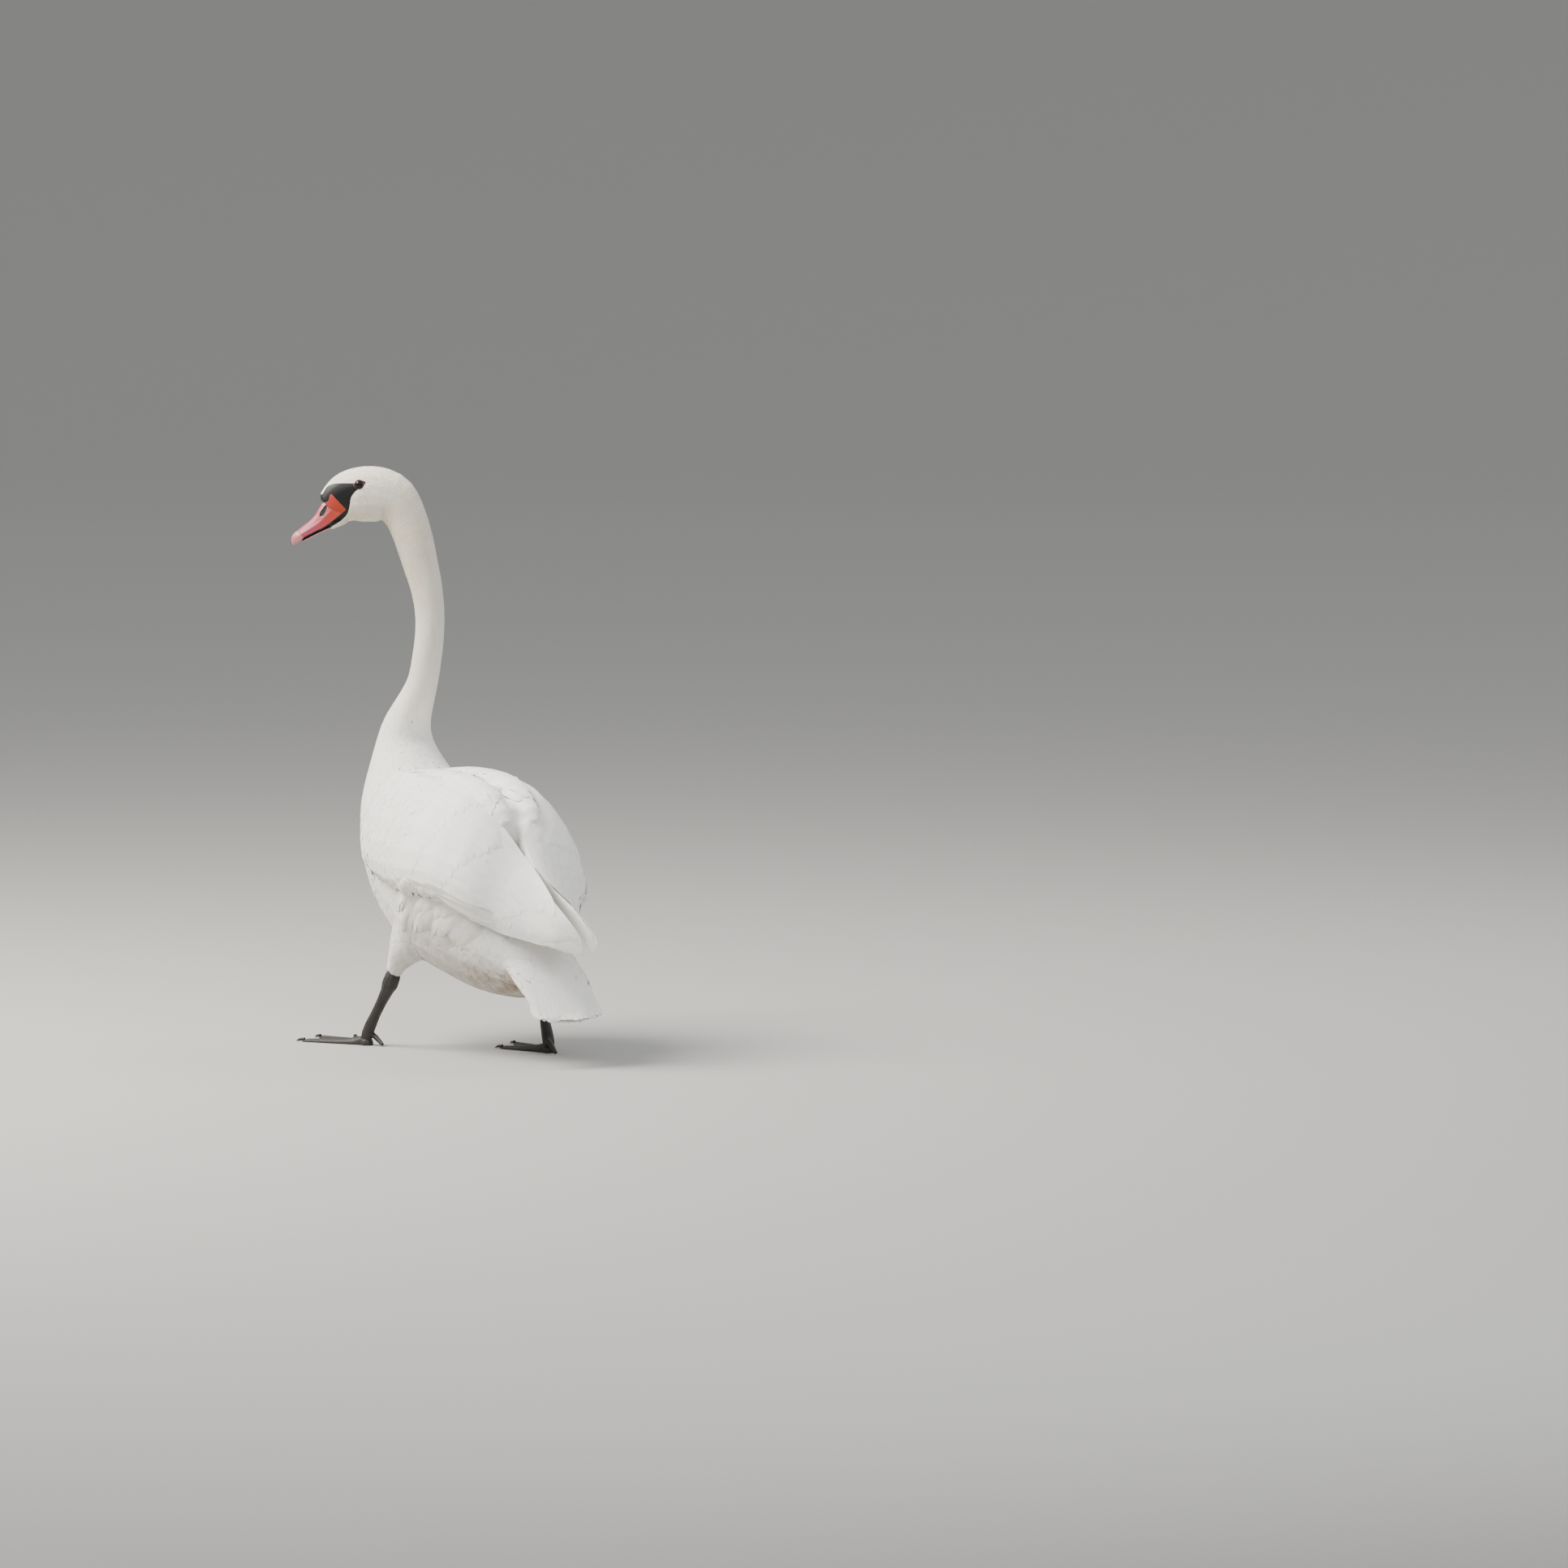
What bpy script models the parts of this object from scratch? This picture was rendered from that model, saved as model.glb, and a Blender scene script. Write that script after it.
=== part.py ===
"""An adult mute swan walking with its neck raised, as a still, life-size model.

The bird faces -Y, its left side is +X, up is +Z and the floor is z = 0. Sizes are metres.
Heights and lengths below are measured from a point between the feet, and the finished model
is then moved sideways until the origin lies under its middle.
The flesh is one loft along a spine that runs from the tail root, through the trunk, up the
neck and over the head, and thin gaps part it into nodes. Wings, tail, legs and bill are lofts
of their own, each cut back by what it lies against.
"""

import math

import bmesh
import bpy
from mathutils import Matrix, Vector

# Driving dimensions
GAP = 0.0004  # room between two nodes that meet
FOOT_GAP = 0.001  # wider, because the foot is grown along its bearings rather than square to its slopes
HEAD_YAW = 58.0  # degrees that the head is turned to the bird's left
NECK_TOP_Y = -0.0194  # where the neck stands upright, before it turns into the head
EYE_REACH = 0.1104
EYE_HEIGHT = 0.8883
EYE_SIDE = 0.0253
EYE_RADIUS = 0.0068
KNOB_REACH = 0.1625
KNOB_HEIGHT = 0.8660
KNOB_RADIUS = 0.0095
TAIL_TIPS = 12  # feather tips along the rear edge of the fan
CLAW_LENGTH = 0.012
CLAW_RADIUS = 0.0032
WEB_THICKNESS = 0.0028
TOE_RADIUS = 0.0058
HEEL_RADIUS = 0.011

# The spine, from the tail root to the face. Each row is
# reach along the head's heading, y, z, yaw, half width, rise to the back, drop to the belly.
SPINE = (
    (0.0, 0.330, 0.128, 0, 0.030, 0.016, 0.020),
    (0.0, 0.295, 0.148, 0, 0.062, 0.045, 0.058),
    (0.0, 0.235, 0.182, 0, 0.095, 0.092, 0.096),
    (0.0, 0.165, 0.222, 0, 0.118, 0.132, 0.122),
    (0.0, 0.095, 0.260, 0, 0.128, 0.150, 0.141),
    (0.0, 0.025, 0.297, 0, 0.122, 0.148, 0.137),
    (0.0, -0.035, 0.337, 0, 0.107, 0.120, 0.108),
    (0.0, -0.072, 0.382, 0, 0.088, 0.090, 0.080),
    (0.0, -0.088, 0.425, 0, 0.066, 0.069, 0.064),
    (0.0, -0.094, 0.465, 0, 0.048, 0.052, 0.050),
    (0.0, -0.0895, 0.495, 2, 0.0390, 0.040, 0.0405),
    (0.0, -0.074, 0.522, 5, 0.032, 0.032, 0.033),
    (0.0, -0.056, 0.548, 8, 0.0275, 0.027, 0.0275),
    (0.0, -0.040, 0.575, 11, 0.024, 0.024, 0.024),
    (0.0, -0.029, 0.608, 15, 0.0232, 0.0232, 0.0232),
    (0.0, -0.020, 0.648, 22, 0.0228, 0.0228, 0.0228),
    (0.0, -0.0194, 0.688, 32, 0.0235, 0.0235, 0.0235),
    (0.0052, -0.0194, 0.7253, 44, 0.025, 0.0255, 0.0257),
    (0.0116, -0.0194, 0.7503, 52, 0.0262, 0.0275, 0.0275),
    (0.0195, -0.0194, 0.781, 58, 0.0275, 0.0298, 0.0298),
    (0.0281, -0.0194, 0.8112, 58, 0.029, 0.0316, 0.0316),
    (0.0408, -0.0194, 0.8416, 58, 0.030, 0.0345, 0.0335),
    (0.0577, -0.0194, 0.8637, 58, 0.0315, 0.040, 0.039),
    (0.0800, -0.0194, 0.8705, 58, 0.0325, 0.0445, 0.0435),
    (0.1066, -0.0194, 0.8717, 58, 0.0315, 0.0438, 0.0443),
    (0.1281, -0.0194, 0.8680, 58, 0.0275, 0.0400, 0.0410),
    (0.1450, -0.0194, 0.8595, 58, 0.0222, 0.0330, 0.0365),
    (0.1590, -0.0194, 0.8500, 58, 0.017, 0.0240, 0.029),
)
# Where the loft is parted, as rows of SPINE, with the rings and the sides of each length
PARTS = (
    ("trunk", 0.0, 7.7, 27, 22),
    ("neck_lower", 7.7, 12.5, 10, 22),
    ("neck_middle", 12.5, 15.6, 7, 16),
    ("neck_upper", 15.6, 20.2, 9, 16),
    ("head", 20.2, 27.0, 18, 18),
)

# The left wing, from the shoulder to the tip of the longest feathers:
# upper edge x, y, z, lower edge x, y, z, half thickness
WING = (
    (0.060, -0.060, 0.404, 0.085, -0.070, 0.330, 0.014),
    (0.052, -0.030, 0.434, 0.110, -0.040, 0.300, 0.028),
    (0.055, 0.025, 0.438, 0.127, 0.020, 0.275, 0.038),
    (0.052, 0.085, 0.434, 0.135, 0.090, 0.262, 0.041),
    (0.046, 0.140, 0.425, 0.136, 0.155, 0.262, 0.041),
    (0.034, 0.187, 0.409, 0.129, 0.205, 0.256, 0.039),
    (0.018, 0.227, 0.378, 0.111, 0.250, 0.238, 0.033),
    (0.012, 0.260, 0.340, 0.086, 0.275, 0.222, 0.022),
    (0.012, 0.298, 0.310, 0.066, 0.307, 0.207, 0.013),
    (0.014, 0.334, 0.280, 0.047, 0.336, 0.196, 0.009),
    (0.016, 0.374, 0.254, 0.033, 0.371, 0.184, 0.008),
    (0.016, 0.402, 0.224, 0.018, 0.392, 0.176, 0.005),
    (0.012, 0.416, 0.194, 0.010, 0.410, 0.172, 0.003),
)
WING_PARTING = 7.6  # the row where the coverts give way to the long feathers
# The left wing lies over the right. Its upper edge stays off the midline, the right wing's upper
# edge passes under it, and both tips are swept to the bird's right.
UPPER_LAP = {1: 0.010, -1: 0.024}
TIP_SWEEP = 0.022

# The shoulder feathers of the left side: centre x, y, z, half width, half height
SCAPULARS = (
    (0.0260, -0.030, 0.424, 0.014, 0.010),
    (0.0285, 0.015, 0.427, 0.027, 0.015),
    (0.0325, 0.075, 0.426, 0.0315, 0.019),
    (0.0325, 0.135, 0.420, 0.0315, 0.022),
    (0.0300, 0.185, 0.407, 0.029, 0.022),
    (0.0280, 0.225, 0.388, 0.022, 0.017),
    (0.0260, 0.250, 0.370, 0.008, 0.006),
)

# The tail fan from root to tips: y, z, half width, half thickness
TAIL = (
    (0.240, 0.196, 0.045, 0.020),
    (0.285, 0.172, 0.064, 0.022),
    (0.320, 0.148, 0.068, 0.018),
    (0.348, 0.122, 0.066, 0.013),
    (0.370, 0.096, 0.059, 0.008),
    (0.386, 0.076, 0.046, 0.005),
)
TAIL_SWING = 0.005  # to the bird's right

# The upper half of the bill and its nail: culmen reach, z, cutting edge reach, z, half width
BILL_UPPER = (
    (0.1560, 0.8700, 0.1300, 0.8475, 0.0180),
    (0.1719, 0.8545, 0.1452, 0.8348, 0.0190),
    (0.1764, 0.8455, 0.1560, 0.8262, 0.0180),
    (0.1818, 0.8370, 0.1660, 0.8190, 0.0168),
    (0.1893, 0.8295, 0.1755, 0.8148, 0.0155),
    (0.1965, 0.8240, 0.1835, 0.8108, 0.0150),
    (0.2032, 0.8188, 0.1915, 0.8066, 0.0148),
    (0.2085, 0.8146, 0.1985, 0.8028, 0.0140),
)
BILL_NAIL = (
    (0.2089, 0.8143, 0.1990, 0.8024, 0.0136),
    (0.2140, 0.8100, 0.2045, 0.7988, 0.0120),
    (0.2178, 0.8040, 0.2090, 0.7950, 0.0088),
    (0.2180, 0.7965, 0.2125, 0.7915, 0.0045),
    (0.2150, 0.7915, 0.2138, 0.7900, 0.0015),
)
# The lower half of the bill: reach and z along its middle, half width, half depth
BILL_LOWER = (
    (0.1330, 0.8310, 0.0145, 0.0045),
    (0.1452, 0.8250, 0.0160, 0.0036),
    (0.1600, 0.8185, 0.0150, 0.0030),
    (0.1750, 0.8115, 0.0138, 0.0026),
    (0.1900, 0.8040, 0.0125, 0.0025),
    (0.2010, 0.7982, 0.0100, 0.0022),
)

# Each leg from the thigh, inside the trunk, to the foot. Each row is x, y, z, half thickness.
THIGHS = {
    "left": (
        (0.050, 0.080, 0.235, 0.050),
        (0.070, 0.061, 0.195, 0.046),
        (0.084, 0.043, 0.160, 0.031),
        (0.091, 0.030, 0.140, 0.0185),
        (0.0948, 0.021, 0.119, 0.0125),
    ),
    "right": (
        (-0.050, 0.115, 0.235, 0.050),
        (-0.066, 0.125, 0.195, 0.046),
        (-0.076, 0.140, 0.160, 0.031),
        (-0.082, 0.151, 0.138, 0.0185),
        (-0.084, 0.160, 0.116, 0.0125),
    ),
}
SHANKS = {
    "left": (
        (0.0942, 0.0225, 0.1234, 0.0098),
        (0.0960, 0.0150, 0.1060, 0.0138),
        (0.0985, 0.0040, 0.0870, 0.0096),
        (0.1030, -0.0170, 0.0550, 0.0080),
        (0.1070, -0.0350, 0.0250, 0.0098),
        (0.1080, -0.0400, 0.0120, 0.0090),
    ),
    "right": (
        (-0.0840, 0.1585, 0.1204, 0.0098),
        (-0.0835, 0.1650, 0.1040, 0.0138),
        (-0.0830, 0.1740, 0.0860, 0.0096),
        (-0.0800, 0.1880, 0.0550, 0.0080),
        (-0.0780, 0.2010, 0.0250, 0.0098),
        (-0.0780, 0.2050, 0.0120, 0.0090),
    ),
}
# The middle of each foot, and its heading in degrees to the bird's left
FEET = {"left": (0.108, -0.040, 10.0), "right": (-0.078, 0.205, -8.0)}
# The toes of a left foot: bearing in degrees to the outside, and reach without the claw
TOES = (("inner", -30.0, 0.092), ("middle", -3.0, 0.120), ("outer", 22.0, 0.112))


def new_material(name, colour, roughness, metallic=0.0):
    """A Principled BSDF of one colour, given as linear red, green and blue."""
    material = bpy.data.materials.new(name)
    material.use_nodes = True
    shader = material.node_tree.nodes["Principled BSDF"]
    shader.inputs["Base Color"].default_value = (*colour, 1.0)
    shader.inputs["Roughness"].default_value = roughness
    shader.inputs["Metallic"].default_value = metallic
    return material


def blended(rows, t):
    """The row at t of a table, on a Catmull-Rom curve through its rows."""
    last = len(rows) - 1
    i = min(int(t), last - 1)
    f = t - i
    a, b, c, d = (rows[min(max(j, 0), last)] for j in (i - 1, i, i + 1, i + 2))
    return [
        q + 0.5 * f * (r - p + f * (2 * p - 5 * q + 4 * r - s + f * (3 * (q - r) + s - p)))
        for p, q, r, s in zip(a, b, c, d)
    ]


def spread(start, end, count):
    return [start + (end - start) * k / (count - 1) for k in range(count)]


def heading(yaw):
    """The directions ahead and to the left of something turned left by yaw degrees."""
    turn = math.radians(yaw)
    ahead = Vector((math.sin(turn), -math.cos(turn), 0.0))
    left = Vector((math.cos(turn), math.sin(turn), 0.0))
    return ahead, left


HEAD_AHEAD, HEAD_LEFT = heading(HEAD_YAW)
UP = Vector((0.0, 0.0, 1.0))


def on_head(reach, side, z):
    """A place on the head: its reach along the heading, its distance to the left, its height."""
    return Vector((0.0, NECK_TOP_Y, z)) + HEAD_AHEAD * reach + HEAD_LEFT * side


def oval(centre, side, up, half_width, rise, drop, sides, fullness=2.0):
    """A closed ring of points: an oval that rises and drops by different amounts."""
    ring = []
    for k in range(sides):
        angle = math.tau * k / sides
        c, s = math.cos(angle), math.sin(angle)
        across = half_width * math.copysign(abs(c) ** (2 / fullness), c)
        along = (rise if s > 0 else drop) * math.copysign(abs(s) ** (2 / fullness), s)
        ring.append(centre + side * across + up * along)
    return ring


def finish_mesh(name, mesh, material=None):
    """A new object of a bmesh. One that has no material is a cutter, and stays hidden."""
    bmesh.ops.recalc_face_normals(mesh, faces=mesh.faces)
    data = bpy.data.meshes.new(name)
    mesh.to_mesh(data)
    mesh.free()
    data.shade_smooth()
    made = bpy.data.objects.new(name, data)
    bpy.context.scene.collection.objects.link(made)
    if material:
        data.materials.append(material)
    else:
        made.hide_render = True
        made.display_type = "WIRE"
    return made


def loft(name, rings, material=None):
    """One closed mesh through rings of equal length, with a flat cap at each end.

    Its sides are triangles, so that a solid and its cutter are faceted alike.
    """
    mesh = bmesh.new()
    loops = [[mesh.verts.new(p) for p in ring] for ring in rings]
    for a, b in zip(loops, loops[1:]):
        for k in range(len(a)):
            mesh.faces.new((a[k - 1], a[k], b[k]))
            mesh.faces.new((a[k - 1], b[k], b[k - 1]))
    mesh.faces.new(loops[0])
    mesh.faces.new(loops[-1])
    return finish_mesh(name, mesh, material)


def ball(name, centre, axes, radii, material=None, rings=6, sides=10):
    """An ellipsoid about centre, with a radius along each of three axes."""
    mesh = bmesh.new()
    bmesh.ops.create_uvsphere(mesh, u_segments=sides, v_segments=rings, radius=1.0)
    for vert in mesh.verts:
        x, y, z = (c * r for c, r in zip(vert.co, radii))
        vert.co = centre + axes[0] * x + axes[1] * y + axes[2] * z
    return finish_mesh(name, mesh, material)


def settle(obj):
    """Makes the evaluated mesh the object's own, and drops all but its largest island."""
    graph = bpy.context.evaluated_depsgraph_get()
    mesh = bmesh.new()
    mesh.from_object(obj, graph)
    unseen = set(mesh.verts)
    islands = []
    while unseen:
        todo = [unseen.pop()]
        island = list(todo)
        while todo:
            for edge in todo.pop().link_edges:
                for vert in edge.verts:
                    if vert in unseen:
                        unseen.remove(vert)
                        todo.append(vert)
                        island.append(vert)
        islands.append(island)
    islands.sort(key=len)
    for island in islands[:-1]:
        bmesh.ops.delete(mesh, geom=island, context="VERTS")
    bmesh.ops.remove_doubles(mesh, verts=mesh.verts, dist=0.000001)
    obj.modifiers.clear()
    mesh.to_mesh(obj.data)
    mesh.free()
    return obj


def boolean(obj, operation, others):
    for other in others:
        modifier = obj.modifiers.new(operation.lower(), "BOOLEAN")
        modifier.operation = operation
        modifier.solver = "EXACT"
        modifier.object = other
    return settle(obj)


def spine_point(t):
    reach, y, z = blended(SPINE, t)[:3]
    return Vector((0.0, y, z)) + HEAD_AHEAD * reach


def spine_ring(t, sides, grow=0.0):
    """The ring of the flesh at row t of SPINE, grown by a little when it is a cutter."""
    step = 0.3
    last = len(SPINE) - 1
    along = spine_point(min(t + step, last)) - spine_point(max(t - step, 0))
    along.normalize()
    yaw, half_width, rise, drop = blended(SPINE, t)[3:]
    left = heading(yaw)[1]
    left = (left - along * left.dot(along)).normalized()
    up = along.cross(left)
    return oval(spine_point(t), left, up, half_width + grow, rise + grow, drop + grow, sides, 2.15)


def make_flesh(feathers):
    """Trunk, neck and head: lengths of one loft, with a gap between each and the next.

    Also makes what cuts back the wings, the tail and the thighs: the trunk and the foot of the
    neck again in one piece, a gap larger.
    """
    made = {}
    grown = []
    for name, start, end, rings, sides in PARTS:
        stop = end
        if name != "head":
            pace = (spine_point(end + 0.05) - spine_point(end - 0.05)).length / 0.1
            stop -= GAP / pace
        stations = spread(start, stop, rings)
        made[name] = loft(name, [spine_ring(t, sides) for t in stations], feathers)
        if name in ("trunk", "neck_lower"):
            grown += [spine_ring(t, sides, GAP) for t in stations]
    return made, [loft("flesh_cutter", grown)]


def wing_rings(side, stations, grow=0.0):
    """Rings of the folded wing. side is 1 for the left wing and -1 for the right."""
    rings = []
    last = len(WING) - 1
    for t in stations:
        row = blended(WING, t)
        top, bottom, thick = Vector(row[:3]), Vector(row[3:6]), row[6]
        rear = max(0.0, t / last - 0.4) / 0.6
        for point in (top, bottom):
            point.x = side * point.x - TIP_SWEEP * rear**2.5
        top.x += UPPER_LAP[side] * math.sin(math.pi * rear)
        up = (top - bottom) / 2
        height = up.length
        up.normalize()
        ahead = blended(WING, min(t + 0.3, last))
        behind = blended(WING, max(t - 0.3, 0.0))
        along = Vector([a + d - b - e for a, b, d, e in zip(ahead, behind, ahead[3:], behind[3:])][:3])
        along.x *= side
        out = along.cross(up).normalized()
        centre = (top + bottom) / 2
        rings.append(oval(centre, out, up, thick + grow, height + grow, height + grow, 16, 2.2))
    return rings


def make_wings(feathers, flesh):
    """The left wing lies over the right one, and both lie on the trunk."""
    inner = spread(0.0, WING_PARTING, 12)
    outer = spread(WING_PARTING + GAP / 0.045, len(WING) - 1.0, 8)
    left_cutter = loft("wing_left_cutter", wing_rings(1, inner + outer, GAP))
    right_cutter = loft("wing_right_cutter", wing_rings(-1, inner + outer, GAP))
    for name, side, cutters in (("left", 1, flesh), ("right", -1, flesh + [left_cutter])):
        coverts = loft("wing_" + name, wing_rings(side, inner), feathers)
        long_feathers = loft("flight_feathers_" + name, wing_rings(side, outer), feathers)
        boolean(coverts, "DIFFERENCE", cutters)
        boolean(long_feathers, "DIFFERENCE", cutters)
    return [left_cutter, right_cutter]


def make_scapulars(feathers, cutters):
    """The shoulder feathers fill the back between the wings, one lobe on each side."""
    for name, side in (("scapulars_left", 1), ("scapulars_right", -1)):
        rings = []
        for t in spread(0.0, len(SCAPULARS) - 1.0, 9):
            x, y, z, half_width, half_height = blended(SCAPULARS, t)
            after = blended(SCAPULARS, min(t + 0.3, len(SCAPULARS) - 1.0))
            before = blended(SCAPULARS, max(t - 0.3, 0.0))
            along = Vector((0.0, after[1] - before[1], after[2] - before[2])).normalized()
            across = Vector((1.0, 0.0, 0.0))
            up = across.cross(along)
            centre = Vector((side * x, y, z))
            rings.append(oval(centre, across, up, half_width, half_height, half_height, 10))
        boolean(loft(name, rings, feathers), "DIFFERENCE", cutters)


def make_tail(feathers, cutters):
    """A fan, whose rear edge is scalloped by the tips of its feathers."""
    rings = []
    last = len(TAIL) - 1
    for t in spread(0.0, last, 8):
        y, z, half_width, thick = blended(TAIL, t)
        ring = []
        for k in range(22):
            angle = math.tau * k / 22
            c, s = math.cos(angle), math.sin(angle)
            across = half_width * math.copysign(abs(c) ** 0.8, c)
            reach = 0.004 * abs(math.sin(TAIL_TIPS / 2 * math.pi * c)) * (t / last) ** 4
            droop = 0.15 * across * across / 0.07
            ring.append(Vector((across - TAIL_SWING * t / last, y + reach, z + thick * s - droop)))
        rings.append(ring)
    return boolean(loft("tail", rings, feathers), "DIFFERENCE", cutters)


def bill_rings(rows, count, grow):
    """Rings of a half of the bill, which stand on its cutting edge and rise to the culmen."""
    rings = []
    for t in spread(0.0, len(rows) - 1.0, count):
        top_reach, top, edge_reach, edge, half_width = blended(rows, t)
        centre = on_head(edge_reach, 0.0, edge)
        up = on_head(top_reach, 0.0, top) - centre
        rise = up.length + grow
        drop = 0.0012 + grow
        rings.append(oval(centre, HEAD_LEFT, up.normalized(), half_width + grow, rise, drop, 14, 2.2))
    return rings


def lower_bill_rings(grow):
    rings = []
    last = len(BILL_LOWER) - 1.0
    for t in spread(0.0, last, 8):
        reach, z, half_width, half_depth = blended(BILL_LOWER, t)
        after = blended(BILL_LOWER, min(t + 0.3, last))
        before = blended(BILL_LOWER, max(t - 0.3, 0.0))
        along = on_head(after[0], 0.0, after[1]) - on_head(before[0], 0.0, before[1])
        up = along.normalized().cross(HEAD_LEFT)
        depth = half_depth + grow
        rings.append(oval(on_head(reach, 0.0, z), HEAD_LEFT, up, half_width + grow, depth, depth, 12, 2.6))
    return rings


def make_head_parts(head, horn, black, eye):
    """Bill, knob and eyes, each let into the head."""
    loft("bill_upper", bill_rings(BILL_UPPER, 9, 0.0), horn)
    upper_cutter = loft("bill_upper_cutter", bill_rings(BILL_UPPER, 9, GAP))
    lower = loft("bill_lower", lower_bill_rings(0.0), horn)
    lower_cutter = loft("bill_lower_cutter", lower_bill_rings(GAP))
    nail = loft("bill_nail", bill_rings(BILL_NAIL, 6, 0.0), horn)
    boolean(nail, "DIFFERENCE", [upper_cutter])
    nail_cutter = loft("bill_nail_cutter", bill_rings(BILL_NAIL, 6, GAP))
    boolean(lower, "DIFFERENCE", [upper_cutter, nail_cutter])
    axes = (HEAD_AHEAD, HEAD_LEFT, UP)
    place = on_head(KNOB_REACH, 0.0, KNOB_HEIGHT)
    knob = ball("knob", place, axes, [KNOB_RADIUS] * 3, black)
    boolean(knob, "DIFFERENCE", [upper_cutter])
    cutters = [upper_cutter, lower_cutter, ball("knob_cutter", place, axes, [KNOB_RADIUS + GAP] * 3)]
    for name, side in (("eye_left", 1), ("eye_right", -1)):
        place = on_head(EYE_REACH, side * EYE_SIDE, EYE_HEIGHT)
        ball(name, place, axes, [EYE_RADIUS] * 3, eye)
        cutters.append(ball(name + "_cutter", place, axes, [EYE_RADIUS + GAP] * 3))
    boolean(head, "DIFFERENCE", cutters)


def limb_rings(rows, count, sides, grow=0.0):
    """Round rings along a limb, each square to its line."""
    rings = []
    last = len(rows) - 1.0
    for t in spread(0.0, last, count):
        x, y, z, radius = blended(rows, t)
        after = Vector(blended(rows, min(t + 0.3, last))[:3])
        before = Vector(blended(rows, max(t - 0.3, 0.0))[:3])
        along = (after - before).normalized()
        side = Vector((0.0, -1.0, 0.0))
        side = (side - along * side.dot(along)).normalized()
        up = along.cross(side)
        r = radius + grow
        past_end = grow * ((t == last) - (t == 0.0))
        rings.append(oval(Vector((x, y, z)) + along * past_end, side, up, r, r, r, sides))
    return rings


def web_edge(bearing):
    """How far the foot reaches at a bearing, in degrees from its heading to the outside."""
    first, last = TOES[0], TOES[-1]
    if first[1] <= bearing <= last[1]:
        for near, far in zip(TOES, TOES[1:]):
            if bearing <= far[1]:
                share = (bearing - near[1]) / (far[1] - near[1])
                straight = near[2] + (far[2] - near[2]) * share
                return straight * (1.0 - 0.2 * math.sin(math.pi * share) ** 0.8)
    toe = first if bearing < first[1] else last
    turn = min(abs(bearing - toe[1]), 90.0)
    beside = TOE_RADIUS / math.sin(math.radians(turn))
    return max(min(toe[2], beside), HEEL_RADIUS)


def foot_height(bearing, r):
    """The top of the foot: a web, a ridge along each toe and a rise to the shank."""
    height = WEB_THICKNESS
    for _, middle, reach in TOES:
        turn = math.radians(abs(bearing - middle))
        if turn < math.pi / 2:
            radius = TOE_RADIUS * (1.0 - 0.45 * r / reach)
            aside = r * math.sin(turn) / radius
            height = max(height, WEB_THICKNESS + (1.7 * radius - WEB_THICKNESS) * math.exp(-aside * aside))
    return height + 0.009 * math.exp(-((r / 0.013) ** 2))


def foot_mesh(name, side, grow=0.0, material=None):
    """A webbed foot with a flat sole. side is 1 for the left foot and -1 for the right."""
    x, y, yaw = FEET["left" if side > 0 else "right"]
    ahead, left = heading(yaw)
    bearings = [b + d for _, b, _ in TOES for d in (-3.0, 0.0, 3.0)]
    bearings += [b + d for (_, b, _), (_, c, _) in zip(TOES, TOES[1:]) for d in spread(8.0, c - b - 8.0, 3)]
    bearings += [TOES[0][1] - d for d in (7.0, 15.0, 35.0, 90.0)]
    bearings += [TOES[-1][1] + d for d in (7.0, 15.0, 35.0, 90.0)] + [160.0, -165.0]
    bearings.sort()
    mesh = bmesh.new()
    middle = Vector((x, y, 0.0))
    crown = mesh.verts.new(middle + UP * (foot_height(0.0, 0.0) + 2 * grow))
    sole = mesh.verts.new(middle - UP * grow)
    columns = []
    for bearing in bearings:
        turn = math.radians(bearing)
        aim = ahead * math.cos(turn) + left * (side * math.sin(turn))
        edge = web_edge(bearing)
        column = []
        for share in (0.12, 0.28, 0.6, 0.92, 1.0):
            r = edge * share
            height = foot_height(bearing, r) * (1.0 if share < 1.0 else 0.55)
            column.append(mesh.verts.new(middle + aim * (r + grow) + UP * (height + 2 * grow)))
        column.append(mesh.verts.new(middle + aim * (edge + grow) - UP * grow))
        columns.append(column)
    for a, b in zip(columns, columns[1:] + columns[:1]):
        mesh.faces.new((crown, a[0], b[0]))
        for k in range(len(a) - 1):
            mesh.faces.new((a[k], a[k + 1], b[k + 1]))
            mesh.faces.new((a[k], b[k + 1], b[k]))
        mesh.faces.new((sole, b[-1], a[-1]))
    return finish_mesh(name, mesh, material)


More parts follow.
